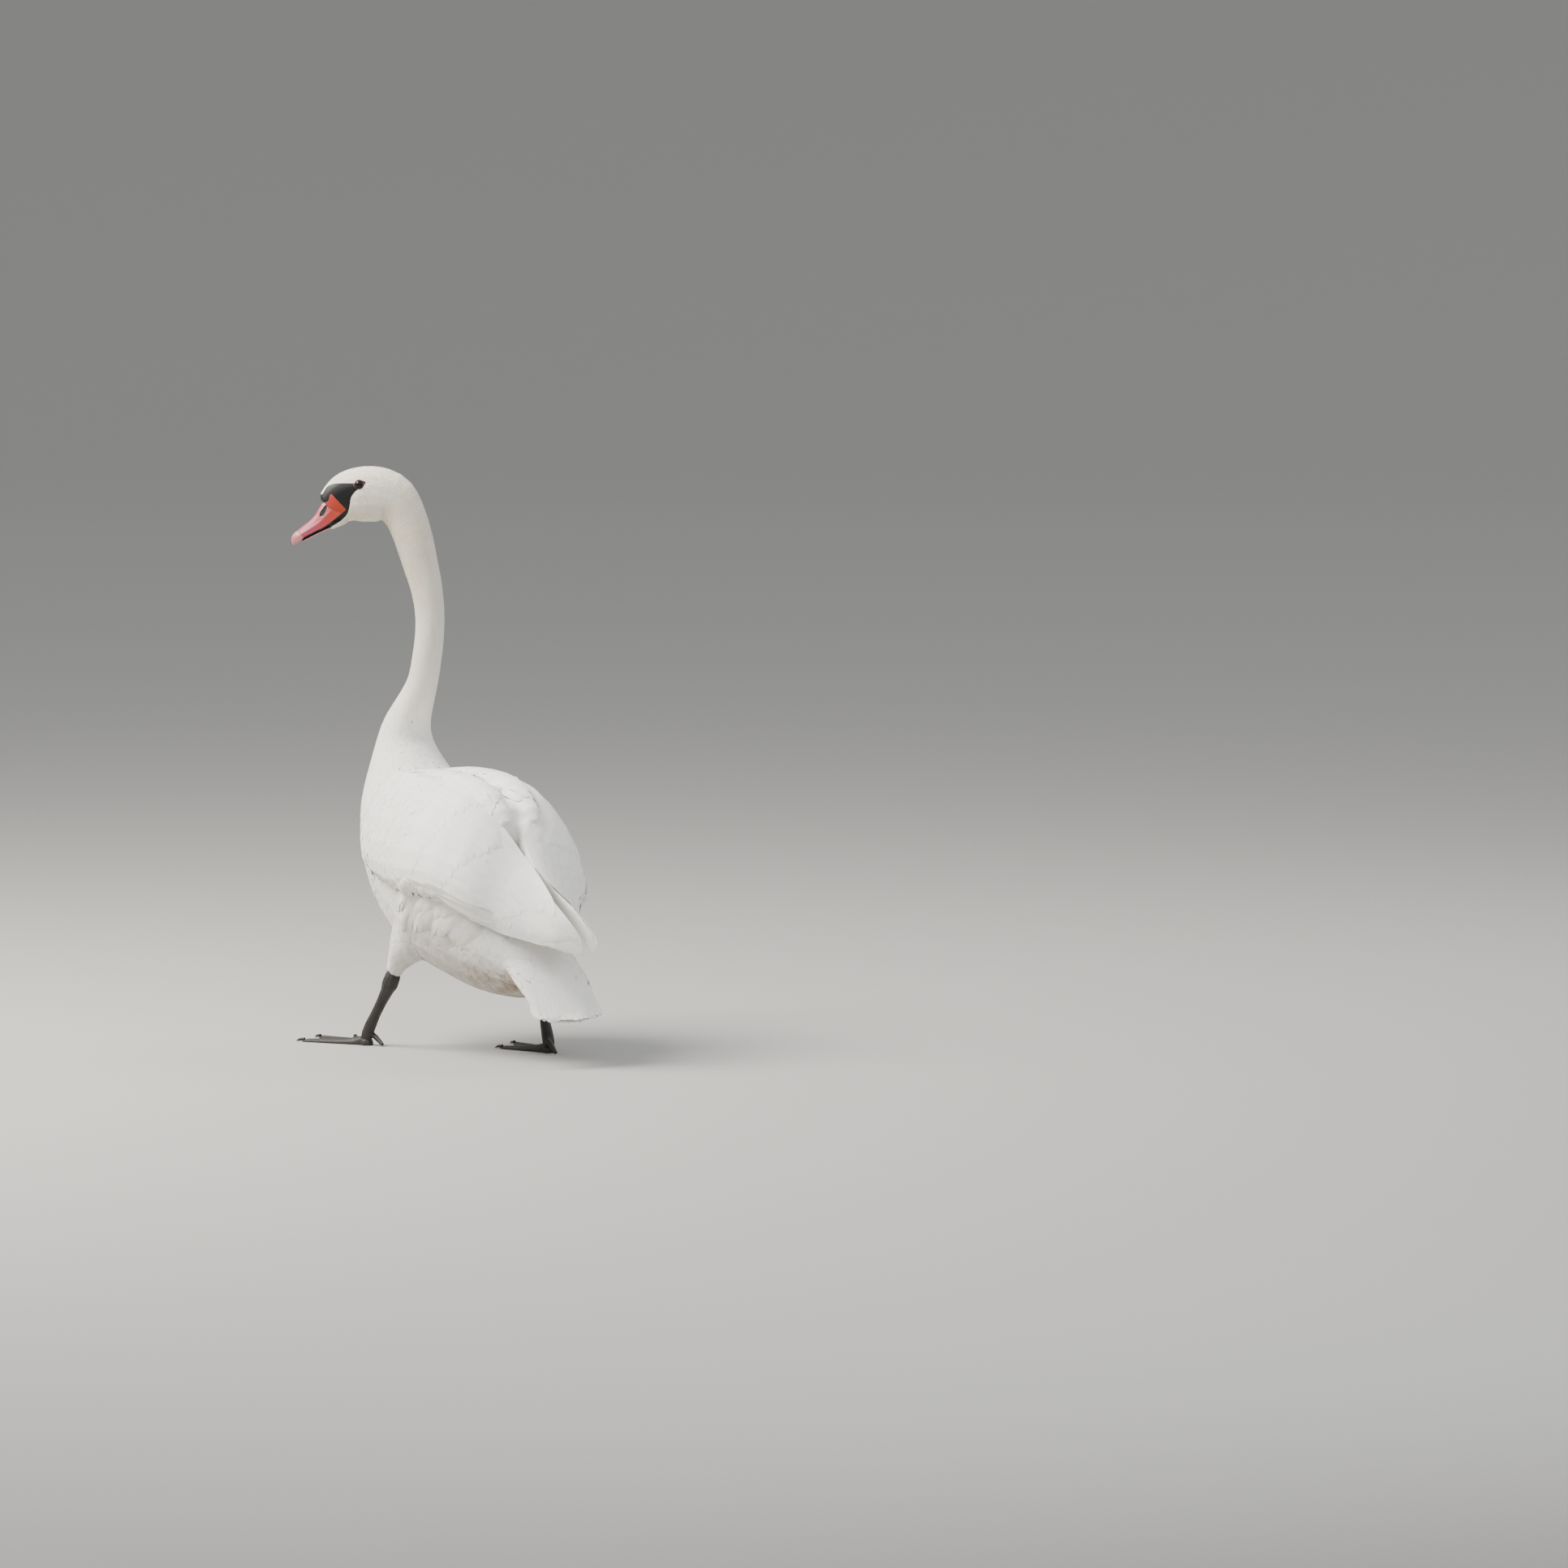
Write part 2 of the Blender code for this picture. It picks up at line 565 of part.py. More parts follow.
def make_legs(feathers, black, flesh):
    """Thighs, bare shanks, webbed feet, hind toes and claws."""
    for name, side in (("left", 1), ("right", -1)):
        thigh = loft("thigh_" + name, limb_rings(THIGHS[name], 7, 14), feathers)
        shank_cutter = loft("shank_cutter_" + name, limb_rings(SHANKS[name], 9, 10, GAP))
        boolean(thigh, "DIFFERENCE", flesh + [shank_cutter])
        shank = loft("shank_" + name, limb_rings(SHANKS[name], 9, 10), black)
        foot_mesh("foot_" + name, side, material=black)
        boolean(shank, "DIFFERENCE", flesh + [foot_mesh("foot_cutter_" + name, side, FOOT_GAP)])
        x, y, yaw = FEET[name]
        ahead, left = heading(yaw)
        back = Vector((x, y, 0.0)) - ahead * HEEL_RADIUS + left * (side * -0.004)
        hind = (
            (*(back + ahead * 0.008 + UP * 0.020), 0.0050),
            (*(back - ahead * 0.006 + UP * 0.014), 0.0042),
            (*(back - ahead * 0.017 + UP * 0.007), 0.0034),
            (*(back - ahead * 0.023 + UP * 0.0035), 0.0026),
        )
        toe = loft("hind_toe_" + name, limb_rings(hind, 4, 8), black)
        boolean(toe, "DIFFERENCE", [shank_cutter, foot_mesh("hind_cutter_" + name, side, FOOT_GAP)])
        for toe_name, bearing, reach in TOES:
            turn = math.radians(bearing)
            aim = ahead * math.cos(turn) + left * (side * math.sin(turn))
            start = Vector((x, y, 0.0)) + aim * (reach + 2 * GAP)
            rows = (
                (*(start + UP * 0.0042), CLAW_RADIUS),
                (*(start + aim * CLAW_LENGTH * 0.55 + UP * 0.0035), CLAW_RADIUS * 0.72),
                (*(start + aim * CLAW_LENGTH + UP * 0.0009), 0.0006),
            )
            loft("claw_%s_%s" % (toe_name, name), limb_rings(rows, 3, 6), black)


def recentre():
    """Moves every mesh so that the origin lies on the floor, under the middle of the model."""
    shown = [o for o in bpy.data.objects if not o.hide_render]
    places = [vert.co for o in shown for vert in o.data.vertices]
    shift = Vector((0.0, 0.0, -min(p.z for p in places)))
    for axis in (0, 1):
        values = [p[axis] for p in places]
        shift[axis] = -(min(values) + max(values)) / 2
    for made in bpy.data.objects:
        made.data.transform(Matrix.Translation(shift))


def main():
    for old in list(bpy.data.objects):
        bpy.data.objects.remove(old)
    feathers = new_material("white_feathers", (0.8, 0.8, 0.77), 0.8)
    horn = new_material("orange_horn", (0.75, 0.2, 0.1), 0.4)
    black = new_material("black_skin", (0.02, 0.02, 0.02), 0.5)
    eye = new_material("dark_eye", (0.02, 0.01, 0.01), 0.1)
    flesh_parts, flesh = make_flesh(feathers)
    wings = make_wings(feathers, flesh)
    make_scapulars(feathers, flesh + wings)
    make_tail(feathers, flesh + wings)
    make_head_parts(flesh_parts["head"], horn, black, eye)
    make_legs(feathers, black, flesh)
    recentre()


main()
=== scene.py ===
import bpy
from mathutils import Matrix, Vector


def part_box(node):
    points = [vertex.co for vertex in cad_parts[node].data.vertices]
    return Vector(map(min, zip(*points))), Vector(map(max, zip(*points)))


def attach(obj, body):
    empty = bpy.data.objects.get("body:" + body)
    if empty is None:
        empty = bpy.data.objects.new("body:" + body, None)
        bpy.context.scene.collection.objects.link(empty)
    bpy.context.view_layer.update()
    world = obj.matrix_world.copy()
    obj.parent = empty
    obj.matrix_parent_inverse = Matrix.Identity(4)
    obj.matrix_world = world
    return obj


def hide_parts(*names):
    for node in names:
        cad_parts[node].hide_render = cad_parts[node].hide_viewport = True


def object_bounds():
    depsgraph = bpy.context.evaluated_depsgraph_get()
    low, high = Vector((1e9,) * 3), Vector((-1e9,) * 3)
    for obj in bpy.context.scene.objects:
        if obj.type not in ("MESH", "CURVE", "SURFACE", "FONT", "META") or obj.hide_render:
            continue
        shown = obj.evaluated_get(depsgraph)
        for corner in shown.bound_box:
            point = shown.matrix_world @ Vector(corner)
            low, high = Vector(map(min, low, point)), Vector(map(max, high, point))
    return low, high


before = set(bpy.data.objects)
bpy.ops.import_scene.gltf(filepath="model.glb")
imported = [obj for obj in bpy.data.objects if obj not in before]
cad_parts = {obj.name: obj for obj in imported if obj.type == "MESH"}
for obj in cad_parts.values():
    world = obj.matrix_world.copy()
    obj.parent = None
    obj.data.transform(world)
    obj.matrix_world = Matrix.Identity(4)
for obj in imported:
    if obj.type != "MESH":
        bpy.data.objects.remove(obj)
cad_box = [list(corner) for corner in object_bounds()]
print("solids from", cad_box[0], "to", cad_box[1])

# %% [markdown]
# ## Helpers
# A few things are needed again and again: a colour from its hex name, a shader or geometry node
# with its links, a mesh's numbers as an array, and a mesh or an object from what was built. Each
# gets one small function, so that the steps below read as a list of decisions.
# %% Colours, nodes and points
import math

import bmesh
import bpy
import numpy as np
from mathutils import Vector
from mathutils.bvhtree import BVHTree

MM = 0.001
UP = Vector((0.0, 0.0, 1.0))


def linear(name):
    """The linear colour of an sRGB hex name such as #F0EDE6, with alpha 1."""
    parts = [int(name[i : i + 2], 16) / 255 for i in (1, 3, 5)]
    return (*[p / 12.92 if p <= 0.04045 else ((p + 0.055) / 1.055) ** 2.4 for p in parts], 1.0)


def feed(tree, node, inputs):
    """Gives a node's inputs what they take: a link from a socket or a node, or a plain value."""
    for key, value in inputs.items():
        if isinstance(value, bpy.types.Node):
            value = next(s for s in value.outputs if s.enabled)
        if isinstance(value, bpy.types.NodeSocket):
            tree.links.new(value, node.inputs[key])
        else:
            node.inputs[key].default_value = value


def add(tree, kind, inputs=None, **settings):
    """A new node with its settings and its inputs."""
    node = tree.nodes.new(kind)
    for name, value in settings.items():
        setattr(node, name, value)
    feed(tree, node, inputs or {})
    return node


def numbers(items, name, kind, width):
    """One property of all items of a mesh, as rows of an array."""
    flat = np.empty(len(items) * width, kind)
    items.foreach_get(name, flat)
    return flat.reshape(-1, width)


def points_of(mesh):
    return numbers(mesh.vertices, "co", np.float32, 3).astype(float)


def move_points(mesh, points):
    mesh.vertices.foreach_set("co", np.asarray(points, np.float32).ravel())
    mesh.update()


def edges_of(mesh):
    return numbers(mesh.edges, "vertices", np.int32, 2)


def normals_of(mesh):
    return numbers(mesh.vertices, "normal", np.float32, 3).astype(float)


def give(mesh, name, values):
    """Stores one number or one vector for each point of a mesh."""
    values = np.asarray(values, np.float32)
    kind = "FLOAT" if values.ndim == 1 else "FLOAT_VECTOR"
    attribute = mesh.attributes.new(name, kind, "POINT")
    attribute.data.foreach_set("value" if values.ndim == 1 else "vector", values.ravel())


def new_object(name, mesh, *materials):
    made = bpy.data.objects.new(name, mesh)
    bpy.context.scene.collection.objects.link(made)
    for material in materials:
        mesh.materials.append(material)
    return made


def mesh_from(net, name):
    """Turns a bmesh into a smooth mesh, and frees it."""
    data = bpy.data.meshes.new(name)
    net.to_mesh(data)
    net.free()
    data.shade_smooth()
    return data


def apply_modifiers(piece):
    """Replaces an object's mesh by what its modifiers make of it, and removes them."""
    graph = bpy.context.evaluated_depsgraph_get()
    piece.data = bpy.data.meshes.new_from_object(piece.evaluated_get(graph))
    piece.modifiers.clear()
    piece.data.name = piece.name


def triangles_of(piece):
    return sum(len(face.vertices) - 2 for face in piece.data.polygons)


def middle(node):
    low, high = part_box(node)
    return (low + high) / 2


# %% [markdown]
# ## From faceted solids to smooth forms
# The solids are drawn with few faces. A voxel remesh wraps several of them in one even net and
# closes the hairline gaps between them, and smoothing then takes the facets off. Taubin's way of
# smoothing, one step in and one step out, keeps the volume, where plain smoothing would starve
# the neck.
# %% Wrap and smooth
SAME_POINT = 0.001 * MM


def wrapped(name, nodes, voxel, swell=0.0, filling=None):
    """
    A new object: one even, closed mesh round the CAD nodes, which may first swell to close the
    gaps between them.
    """
    mesh = filling or bmesh.new()
    for node in nodes:
        mesh.from_mesh(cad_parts[node].data)
    bmesh.ops.remove_doubles(mesh, verts=mesh.verts, dist=SAME_POINT)
    mesh.normal_update()
    for v in mesh.verts:
        v.co += v.normal * swell
    made = new_object(name, mesh_from(mesh, name))
    made.data.materials.clear()
    net = made.modifiers.new("net", "REMESH")
    net.mode = "VOXEL"
    net.voxel_size = voxel
    apply_modifiers(made)
    made.data.shade_smooth()
    return made


def smoothed(values, edges, steps):
    """Moves each point's values towards its neighbours' mean by each step's share in turn."""
    count = len(values)
    here = np.concatenate((edges[:, 0], edges[:, 1]))
    there = np.concatenate((edges[:, 1], edges[:, 0]))
    valence = np.maximum(np.bincount(here, minlength=count), 1)
    flat = values.reshape(count, -1)
    for step in steps:
        means = [np.bincount(here, column[there], count) / valence for column in flat.T]
        flat = flat + (np.stack(means, 1) - flat) * np.reshape(step, (-1, 1))
    return flat.reshape(values.shape)


def taubin(rounds):
    return (0.5, -0.52) * rounds


def unit(vectors):
    return vectors / np.maximum(np.linalg.norm(vectors, axis=-1, keepdims=True), 1e-9)


# %% [markdown]
# ## The head's own coordinates
# The face is drawn in a side view of the head: how far ahead of the eye, and how far above it.
# The two eyes fix that view, because the line between them runs straight across the head.
# Outlines of the bare skin, the orange of the bill and the nostril are short lists of corners in
# it, and the distance to an outline, kept at each point of a mesh, lets a material draw its edge
# finer than the mesh.
# %% Head coordinates and outlines
eye_middles = [middle("eye_left"), middle("eye_right")]
head_left = (eye_middles[0] - eye_middles[1]).normalized()
head_ahead = head_left.cross(UP)
brow = (eye_middles[0] + eye_middles[1]) / 2
eye_side = (eye_middles[0] - brow).length
eye_radius = (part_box("eye_left")[1].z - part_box("eye_left")[0].z) / 2
print("eyes are", round(2 * eye_side / MM, 1), "mm apart, with a radius of", round(eye_radius / MM, 1))


def head_view(points):
    """How far each point lies ahead of the eyes, to the left, and above them."""
    away = np.asarray(points, float) - np.array(brow)
    return np.stack((away @ np.array(head_ahead), away @ np.array(head_left), away[:, 2]), 1)


def from_head(ahead, left, above):
    return brow + head_ahead * ahead + head_left * left + UP * above


# Corners in mm, ahead of the eye and above it.
BARE = (
    (-2, 2), (9, 2.2), (39, 1.8), (50, -3), (56, -12), (58, -17), (80, -17), (130, -60),
    (130, -125), (80, -92), (42, -66), (31.5, -60), (19, -49), (15.4, -37), (14.2, -30),
    (13, -21), (10, -16), (5, -10), (-3, -5),
)
ORANGE = (
    (20.6, -40), (26.8, -33), (38.4, -21), (44.7, -14), (47, -21), (48.5, -27), (60, -31.5),
    (140, -50), (140, -125), (101, -95), (88.5, -83.8), (71.4, -75.2), (56.3, -67.8),
    (45.6, -60.4), (34.8, -51.8), (21.9, -41.5),
)
NOSTRIL = (
    (50.6, -32.5), (50.2, -37.5), (54.5, -48.9), (59.7, -51.8), (63.1, -50.6), (62, -44.4),
    (57.4, -38.6), (54.5, -34),
)
NOSTRIL_HOLE = (59.6, -48.6)
CORNER_CUT = 0.2  # how far from each end of an outline's run its corners are cut


def rounded(corners, times=2):
    """Cuts each corner of an outline into two blunter ones, so that straight runs become curves."""
    ring = np.array(corners, float)
    for _ in range(times):
        after = np.roll(ring, -1, axis=0)
        near, far = 1 - CORNER_CUT, CORNER_CUT
        ring = np.stack((near * ring + far * after, far * ring + near * after), 1).reshape(-1, 2)
    return ring


def outline_distance(view, corners):
    """The distance in metres from each point to a rounded outline, less than zero inside it."""
    ring = rounded(corners) * MM
    spots = view[:, (0, 2)]
    nearest = np.full(len(spots), 1e9)
    inside = np.zeros(len(spots), bool)
    for a, b in zip(ring, np.roll(ring, -1, axis=0)):
        run = b - a
        share = np.clip(((spots - a) @ run) / (run @ run), 0, 1)
        nearest = np.minimum(nearest, np.linalg.norm(spots - a - share[:, None] * run, axis=1))
        spans = (a[1] > spots[:, 1]) != (b[1] > spots[:, 1])
        crossing = a[0] + (spots[:, 1] - a[1]) * run[0] / (run[1] if run[1] else 1e-9)
        inside ^= spans & (spots[:, 0] < crossing)
    return np.where(inside, -nearest, nearest)


LID_REACH = 7.2 * MM  # the skin is bare this far round the middle of the eye


def bare_distance(view):
    """The distance to the edge of the bare skin of lores and eye, less than zero on it."""
    return np.minimum(outline_distance(view, BARE), np.hypot(view[:, 0], view[:, 2]) - LID_REACH)


def draw_face(mesh):
    """Gives a mesh its distances to the outlines of the face, and its place along the bill."""
    view = head_view(points_of(mesh))
    give(mesh, "bare", bare_distance(view))
    give(mesh, "orange", outline_distance(view, ORANGE))
    give(mesh, "nostril", outline_distance(view, NOSTRIL))
    give(mesh, "ahead", view[:, 0])


# %% [markdown]
# ## The skin
# Under its feathers a bird is one surface, with no joint between neck and trunk or wing and back.
# So all the solids of flesh are wrapped together, smoothed, and sunk by the depth of the coat
# that will lie on them, which is least on the face and at the feather tips.
# %% Wrap the body
FLESH = (
    "trunk", "neck_lower", "neck_middle", "neck_upper", "head", "thigh_left", "thigh_right",
    "wing_left", "wing_right", "scapulars_left", "scapulars_right",
    "flight_feathers_left", "flight_feathers_right", "tail",
)
SKIN_VOXEL = 3.2 * MM
VALLEY = 3.5 * MM  # how deep the back dips between the shoulder feathers of the two sides
VALLEY_FLOOR = 26 * MM
VALLEY_END = 60 * MM  # where the dip runs out, ahead of the rear end of the shoulder feathers
VALLEY_SLOPE = 40 * MM
VALLEY_START = 20 * MM  # behind the front end of the shoulder feathers
VALLEY_RINGS = 30
CREST_REACH = 12 * MM  # how far along the back each ring looks for the crests


def back_filling():
    """
    The feathered back between the shoulder feathers of the two sides, as a strip that follows
    their crests.
    """
    low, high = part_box("scapulars_left")
    crests = [points_of(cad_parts["scapulars_" + side].data) for side in ("left", "right")]
    crests = np.concatenate(crests)
    half = (high.x - low.x) / 3
    strip = bmesh.new()
    rings = []
    for y in np.linspace(low.y + VALLEY_START, high.y - VALLEY_END + VALLEY_SLOPE, VALLEY_RINGS):
        near = crests[np.abs(crests[:, 1] - y) < CREST_REACH]
        run_out = max(0.0, (y - (high.y - VALLEY_END)) / VALLEY_SLOPE)
        top = near[:, 2].max() - VALLEY - VALLEY_FLOOR * run_out**2
        ring = []
        corners = ((-1, 0.0), (0, VALLEY), (1, 0.0), (1, VALLEY_FLOOR), (-1, VALLEY_FLOOR))
        for across, drop in corners:
            ring.append(strip.verts.new((middle("trunk").x + across * half, y, top - drop)))
        rings.append(ring)
    for a, b in zip(rings[:-1], rings[1:]):
        for k in range(len(a)):
            strip.faces.new((a[k], a[(k + 1) % len(a)], b[(k + 1) % len(a)], b[k]))
    strip.faces.new(rings[0])
    strip.faces.new(rings[-1][::-1])
    bmesh.ops.recalc_face_normals(strip, faces=strip.faces)
    return strip


BODY = FLESH + ("eye_left", "eye_right", "bill_upper", "bill_lower", "knob")
skin = wrapped("skin", BODY, SKIN_VOXEL, filling=back_filling())
skin_edges = edges_of(skin.data)


def node_tree(nodes):
    """A search tree over some CAD nodes, and the node that each of its faces belongs to."""
    points, faces, owners = [], [], []
    for node in nodes:
        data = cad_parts[node].data
        first = len(points)
        points += [v.co.copy() for v in data.vertices]
        faces += [[first + i for i in f.vertices] for f in data.polygons]
        owners += [node] * len(data.polygons)
    return BVHTree.FromPolygons(points, faces), owners


owner_tree, owner_names = node_tree(FLESH)
bill_tree = node_tree(("bill_upper", "knob"))[0]
lower_tree = node_tree(("bill_lower",))[0]
nearest = [owner_tree.find_nearest(p)[2] for p in points_of(skin.data)]
skin_owner = np.array([FLESH.index(owner_names[face]) for face in nearest])
print("skin of", len(skin.data.polygons), "faces")

# %% [markdown]
# ### What grows where
# One row for each part of the body says how its feathers are: width, length and how high their
# tips stand, in mm, how deep the skin lies, and which way the feathers lie. Averaged between
# neighbours, the rows run into each other, as a real coat does.
# %% Coat table
wing_way = middle("flight_feathers_left") - middle("wing_left")
wing_way.x = 0.0
body_way = Vector((0.0, 0.9, -0.38))
head_way = -head_ahead * 0.9 - UP * 0.25
neck_way = middle("neck_middle") - middle("neck_upper")
neck_foot_way = middle("neck_lower") - middle("neck_middle")
thigh_ways = [middle("shank_" + s) - middle("thigh_" + s) for s in ("left", "right")]
# width, length, tip height, skin depth, way
COAT = {
    "head": (1.7, 7.0, 0.19, 0.35, head_way),
    "neck_upper": (2.8, 13.0, 0.29, 0.5, neck_way),
    "neck_middle": (3.4, 15.0, 0.33, 0.55, neck_way),
    "neck_lower": (7.5, 20.0, 0.75, 1.0, neck_foot_way),
    "trunk": (14.0, 34.0, 1.05, 1.4, body_way),
    "thigh_left": (6.0, 16.0, 0.75, 1.0, thigh_ways[0]),
    "thigh_right": (6.0, 16.0, 0.75, 1.0, thigh_ways[1]),
    "wing_left": (17.0, 38.0, 1.1, 2.2, wing_way),
    "wing_right": (17.0, 38.0, 1.1, 2.2, wing_way),
    "scapulars_left": (20.0, 46.0, 1.2, 2.4, wing_way),
    "scapulars_right": (20.0, 46.0, 1.2, 2.4, wing_way),
    "flight_feathers_left": (16.0, 60.0, 0.6, 1.6, wing_way),
    "flight_feathers_right": (16.0, 60.0, 0.6, 1.6, wing_way),
    "tail": (15.0, 42.0, 0.55, 1.6, Vector((0.0, 0.8, -0.6))),
}
BLEND_ROUNDS = 40  # how often neighbours are averaged, which spreads a change over some 20 mm
rows = np.array([(*COAT[n][:4], *COAT[n][4].normalized()) for n in FLESH])
skin_rows = smoothed(rows[skin_owner], skin_edges, (0.5,) * BLEND_ROUNDS)
print("coat from", skin_rows[:, 1].min().round(1), "to", skin_rows[:, 1].max().round(1), "mm long")

# %% [markdown]
# ### Smoothing and sinking
# The body is smoothed much more than the head, whose brow and cheeks are true forms and not
# facets. Bare skin stays where it is, and dips under the bill's edge.
# %% Shape the skin
BARE_DEPTH = 0.15 * MM
UNDER_BILL = 3.2 * MM
CHIN_AHEAD = 46 * MM  # the feathers of the chin wrap the lower bill this far ahead of the eye
CHIN_RISE = 1.6 * MM
THICK_ENOUGH = 12 * MM
THIN_SHARE = 0.25  # how much of a thin blade's thickness the skin may sink from each side
HEAD_HARDNESS = 0.25  # how much of the body's smoothing the head gets
SMOOTH_ROUNDS = 45
BLADES = [FLESH.index(n) for n in FLESH if "feathers" in n or n == "tail"]


def ramp(values, start, end):
    share = np.clip((values - start) / (end - start), 0, 1)
    return share * share * (3 - 2 * share)


on_head = smoothed((skin_owner == FLESH.index("head")).astype(float), skin_edges, (0.5,) * 10)
hardness = 1.0 - (1.0 - HEAD_HARDNESS) * on_head
skin_points = points_of(skin.data)
to_flesh, to_bill, to_lower = [
    np.array([tree.find_nearest(p)[3] for p in skin_points])
    for tree in (owner_tree, bill_tree, lower_tree)
]
at_bill = to_bill < to_flesh
at_lower = to_lower < to_flesh
on_chin = at_lower & (head_view(skin_points)[:, 0] < CHIN_AHEAD)
skin_points = smoothed(skin_points, skin_edges, [hardness * s for s in taubin(SMOOTH_ROUNDS)])
move_points(skin.data, skin_points)
skin_out = unit(smoothed(normals_of(skin.data), skin_edges, (0.5,) * 4))
bare_share = ramp(-outline_distance(head_view(skin_points), BARE), -1.5 * MM, 2.0 * MM)
depth = skin_rows[:, 3] * MM * (1 - bare_share) + BARE_DEPTH * bare_share
depth = np.where(on_chin, -CHIN_RISE, np.where(at_bill | at_lower, UNDER_BILL, depth))
own_depth = BVHTree.FromObject(skin, bpy.context.evaluated_depsgraph_get())
for k in np.flatnonzero(np.isin(skin_owner, BLADES)):
    inward = -Vector(skin_out[k])
    start = Vector(skin_points[k]) + inward * 0.3 * MM
    through = own_depth.ray_cast(start, inward, THICK_ENOUGH)[3]
    if through is not None:
        depth[k] = min(depth[k], THIN_SHARE * through)
depth = smoothed(depth, skin_edges, (0.5,) * 2)
skin_points = skin_points - skin_out * depth[:, None]
move_points(skin.data, skin_points)
skin_out = unit(smoothed(normals_of(skin.data), skin_edges, (0.5,) * 4))
draw_face(skin.data)

# %% [markdown]
# ### The coat's marks
# A mute swan is white, but not evenly. The head and neck carry a cream or rusty tinge from
# feeding in muddy water, strongest on the throat, and a bird that walks on land has a grey-brown
# belly and undertail. That grey-brown is laid on every face of the lower body that looks down, so
# it is mud and also painted shade under the belly. Both are soft masks kept on the skin, and each
# feather later takes the value at its root, so that skin and coat agree.
# %% Masks of cream, and of mud with painted shade
# Where the brown of mud and painted shade lies: low on the belly, and more towards the tail.
MUD_AND_SHADE_TOP = 220 * MM  # above the lowest point of the belly
MUD_AND_SHADE_FULL = 50 * MM
MUD_AND_SHADE_FRONT = -80 * MM  # the stain grows from here towards the tail


def owned(*names):
    return np.isin(skin_owner, [FLESH.index(n) for n in names]).astype(float)


neck_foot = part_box("neck_lower")[0].z
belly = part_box("trunk")[0].z
tail_low, tail_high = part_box("tail")
view = head_view(skin_points)
ahead, above = view[:, 0], view[:, 2]
cream = 0.75 * ramp(skin_points[:, 2], neck_foot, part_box("neck_upper")[1].z)
cream *= 0.75 + 0.25 * ramp(above, -0.02, -0.06) * ramp(ahead, -0.13, -0.08)
# The brown grows on faces that look down: mud, and also painted shade under the body.
under = ramp(-skin_out[:, 2], -0.1, 0.65)
under *= ramp(skin_points[:, 2], belly + MUD_AND_SHADE_TOP, belly + MUD_AND_SHADE_FULL)
mud_and_shade = under * (0.45 + 0.55 * ramp(skin_points[:, 1], MUD_AND_SHADE_FRONT, tail_low.y))
mud_and_shade *= owned("trunk", "tail", "thigh_left", "thigh_right")
mud_and_shade = smoothed(mud_and_shade, skin_edges, (0.5,) * 12)
print("skin stained over", round(float((mud_and_shade > 0.2).mean()) * 100), "% of its points")

# %% [markdown]
# ### The lie of the coat
# Feathers lie backwards along the body, but not in files: they swirl a little everywhere, and
# much in the ruffled patch on the breast. Round the bare skin of the face they point away from
# its edge, and they stop exactly at it.
# %% Lie of the coat
EYE_CORNER = (-10.5, 3.7)  # the rear corner of the lids, in mm ahead of the eye and above it
EYE_CLEARING = 7.7 * MM
CORNER_CLEARING = 1.7 * MM
BARE_MARGIN = 0.3 * MM
FACE_END = 55 * MM
CLEAR_LIMIT = 8  # mm
RUFFLE_HALF_SIZE = (0.06, 0.05, 0.09)  # of the patch on the breast
SWIRL_WAVES = ((190, 70, 60), (50, 210, -90), (-80, 60, 170))  # in radians for each metre
SWIRL = 0.10
RUFFLE_SWIRL = 0.7
RUFFLE_RISE = 1.1

wing_low, wing_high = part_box("wing_left")
breast = np.array([wing_high.x - 0.02, wing_low.y + 0.02, middle("wing_left").z - 0.03])
breast_gap = np.abs(skin_points - breast)
spine_x = middle("trunk").x
breast_gap[:, 0] = np.abs(np.abs(skin_points[:, 0] - spine_x) - (breast[0] - spine_x))
ruffled = ramp(-np.linalg.norm(breast_gap / RUFFLE_HALF_SIZE, axis=1), -1.0, -0.3)
swirl = np.stack([np.sin(skin_points @ wave) for wave in SWIRL_WAVES], 1)
swirl = swirl * (SWIRL + RUFFLE_SWIRL * ruffled)[:, None] * (1 - 0.8 * on_head)[:, None]
coat_way = unit(skin_rows[:, 4:7]) + swirl

to_bare = outline_distance(view, BARE)
steps = [np.eye(3)[axis] * 0.5 * MM for axis in (0, 2)]
edge_ways = np.stack([outline_distance(view + step, BARE) - to_bare for step in steps], 1)
from_edge = unit(edge_ways) @ np.stack((np.array(head_ahead), np.array(UP)))
coat_way = coat_way + from_edge * (on_head * ramp(-to_bare, -5 * MM, 1 * MM))[:, None]
coat_way = unit(coat_way - skin_out * np.sum(coat_way * skin_out, axis=1, keepdims=True))

corner = np.array(EYE_CORNER) * MM
beside = view[:, (0, 2)]
along_corner = np.clip(beside @ corner / (corner @ corner), 0, 1)
off_corner = np.linalg.norm(beside - along_corner[:, None] * corner, axis=1)
clear = np.minimum(to_bare - BARE_MARGIN, np.hypot(*beside.T) - EYE_CLEARING)
clear = np.minimum(clear, off_corner - CORNER_CLEARING)
feathered = np.where(ahead > FACE_END, -1.0, np.clip(clear / MM, -CLEAR_LIMIT, CLEAR_LIMIT))
skin_rows[:, 2] *= 1 + RUFFLE_RISE * ruffled
edge_of_bare = ramp(to_bare, 0.2 * MM, 7 * MM) * on_head + (1 - on_head)
skin_rows[:, :2] *= (0.42 + 0.58 * edge_of_bare)[:, None]
give(skin.data, "way", coat_way)
give(skin.data, "out", skin_out)
give(skin.data, "size", skin_rows[:, :3] * MM)
give(skin.data, "marks", np.stack((cream, mud_and_shade, np.zeros(len(cream))), 1))

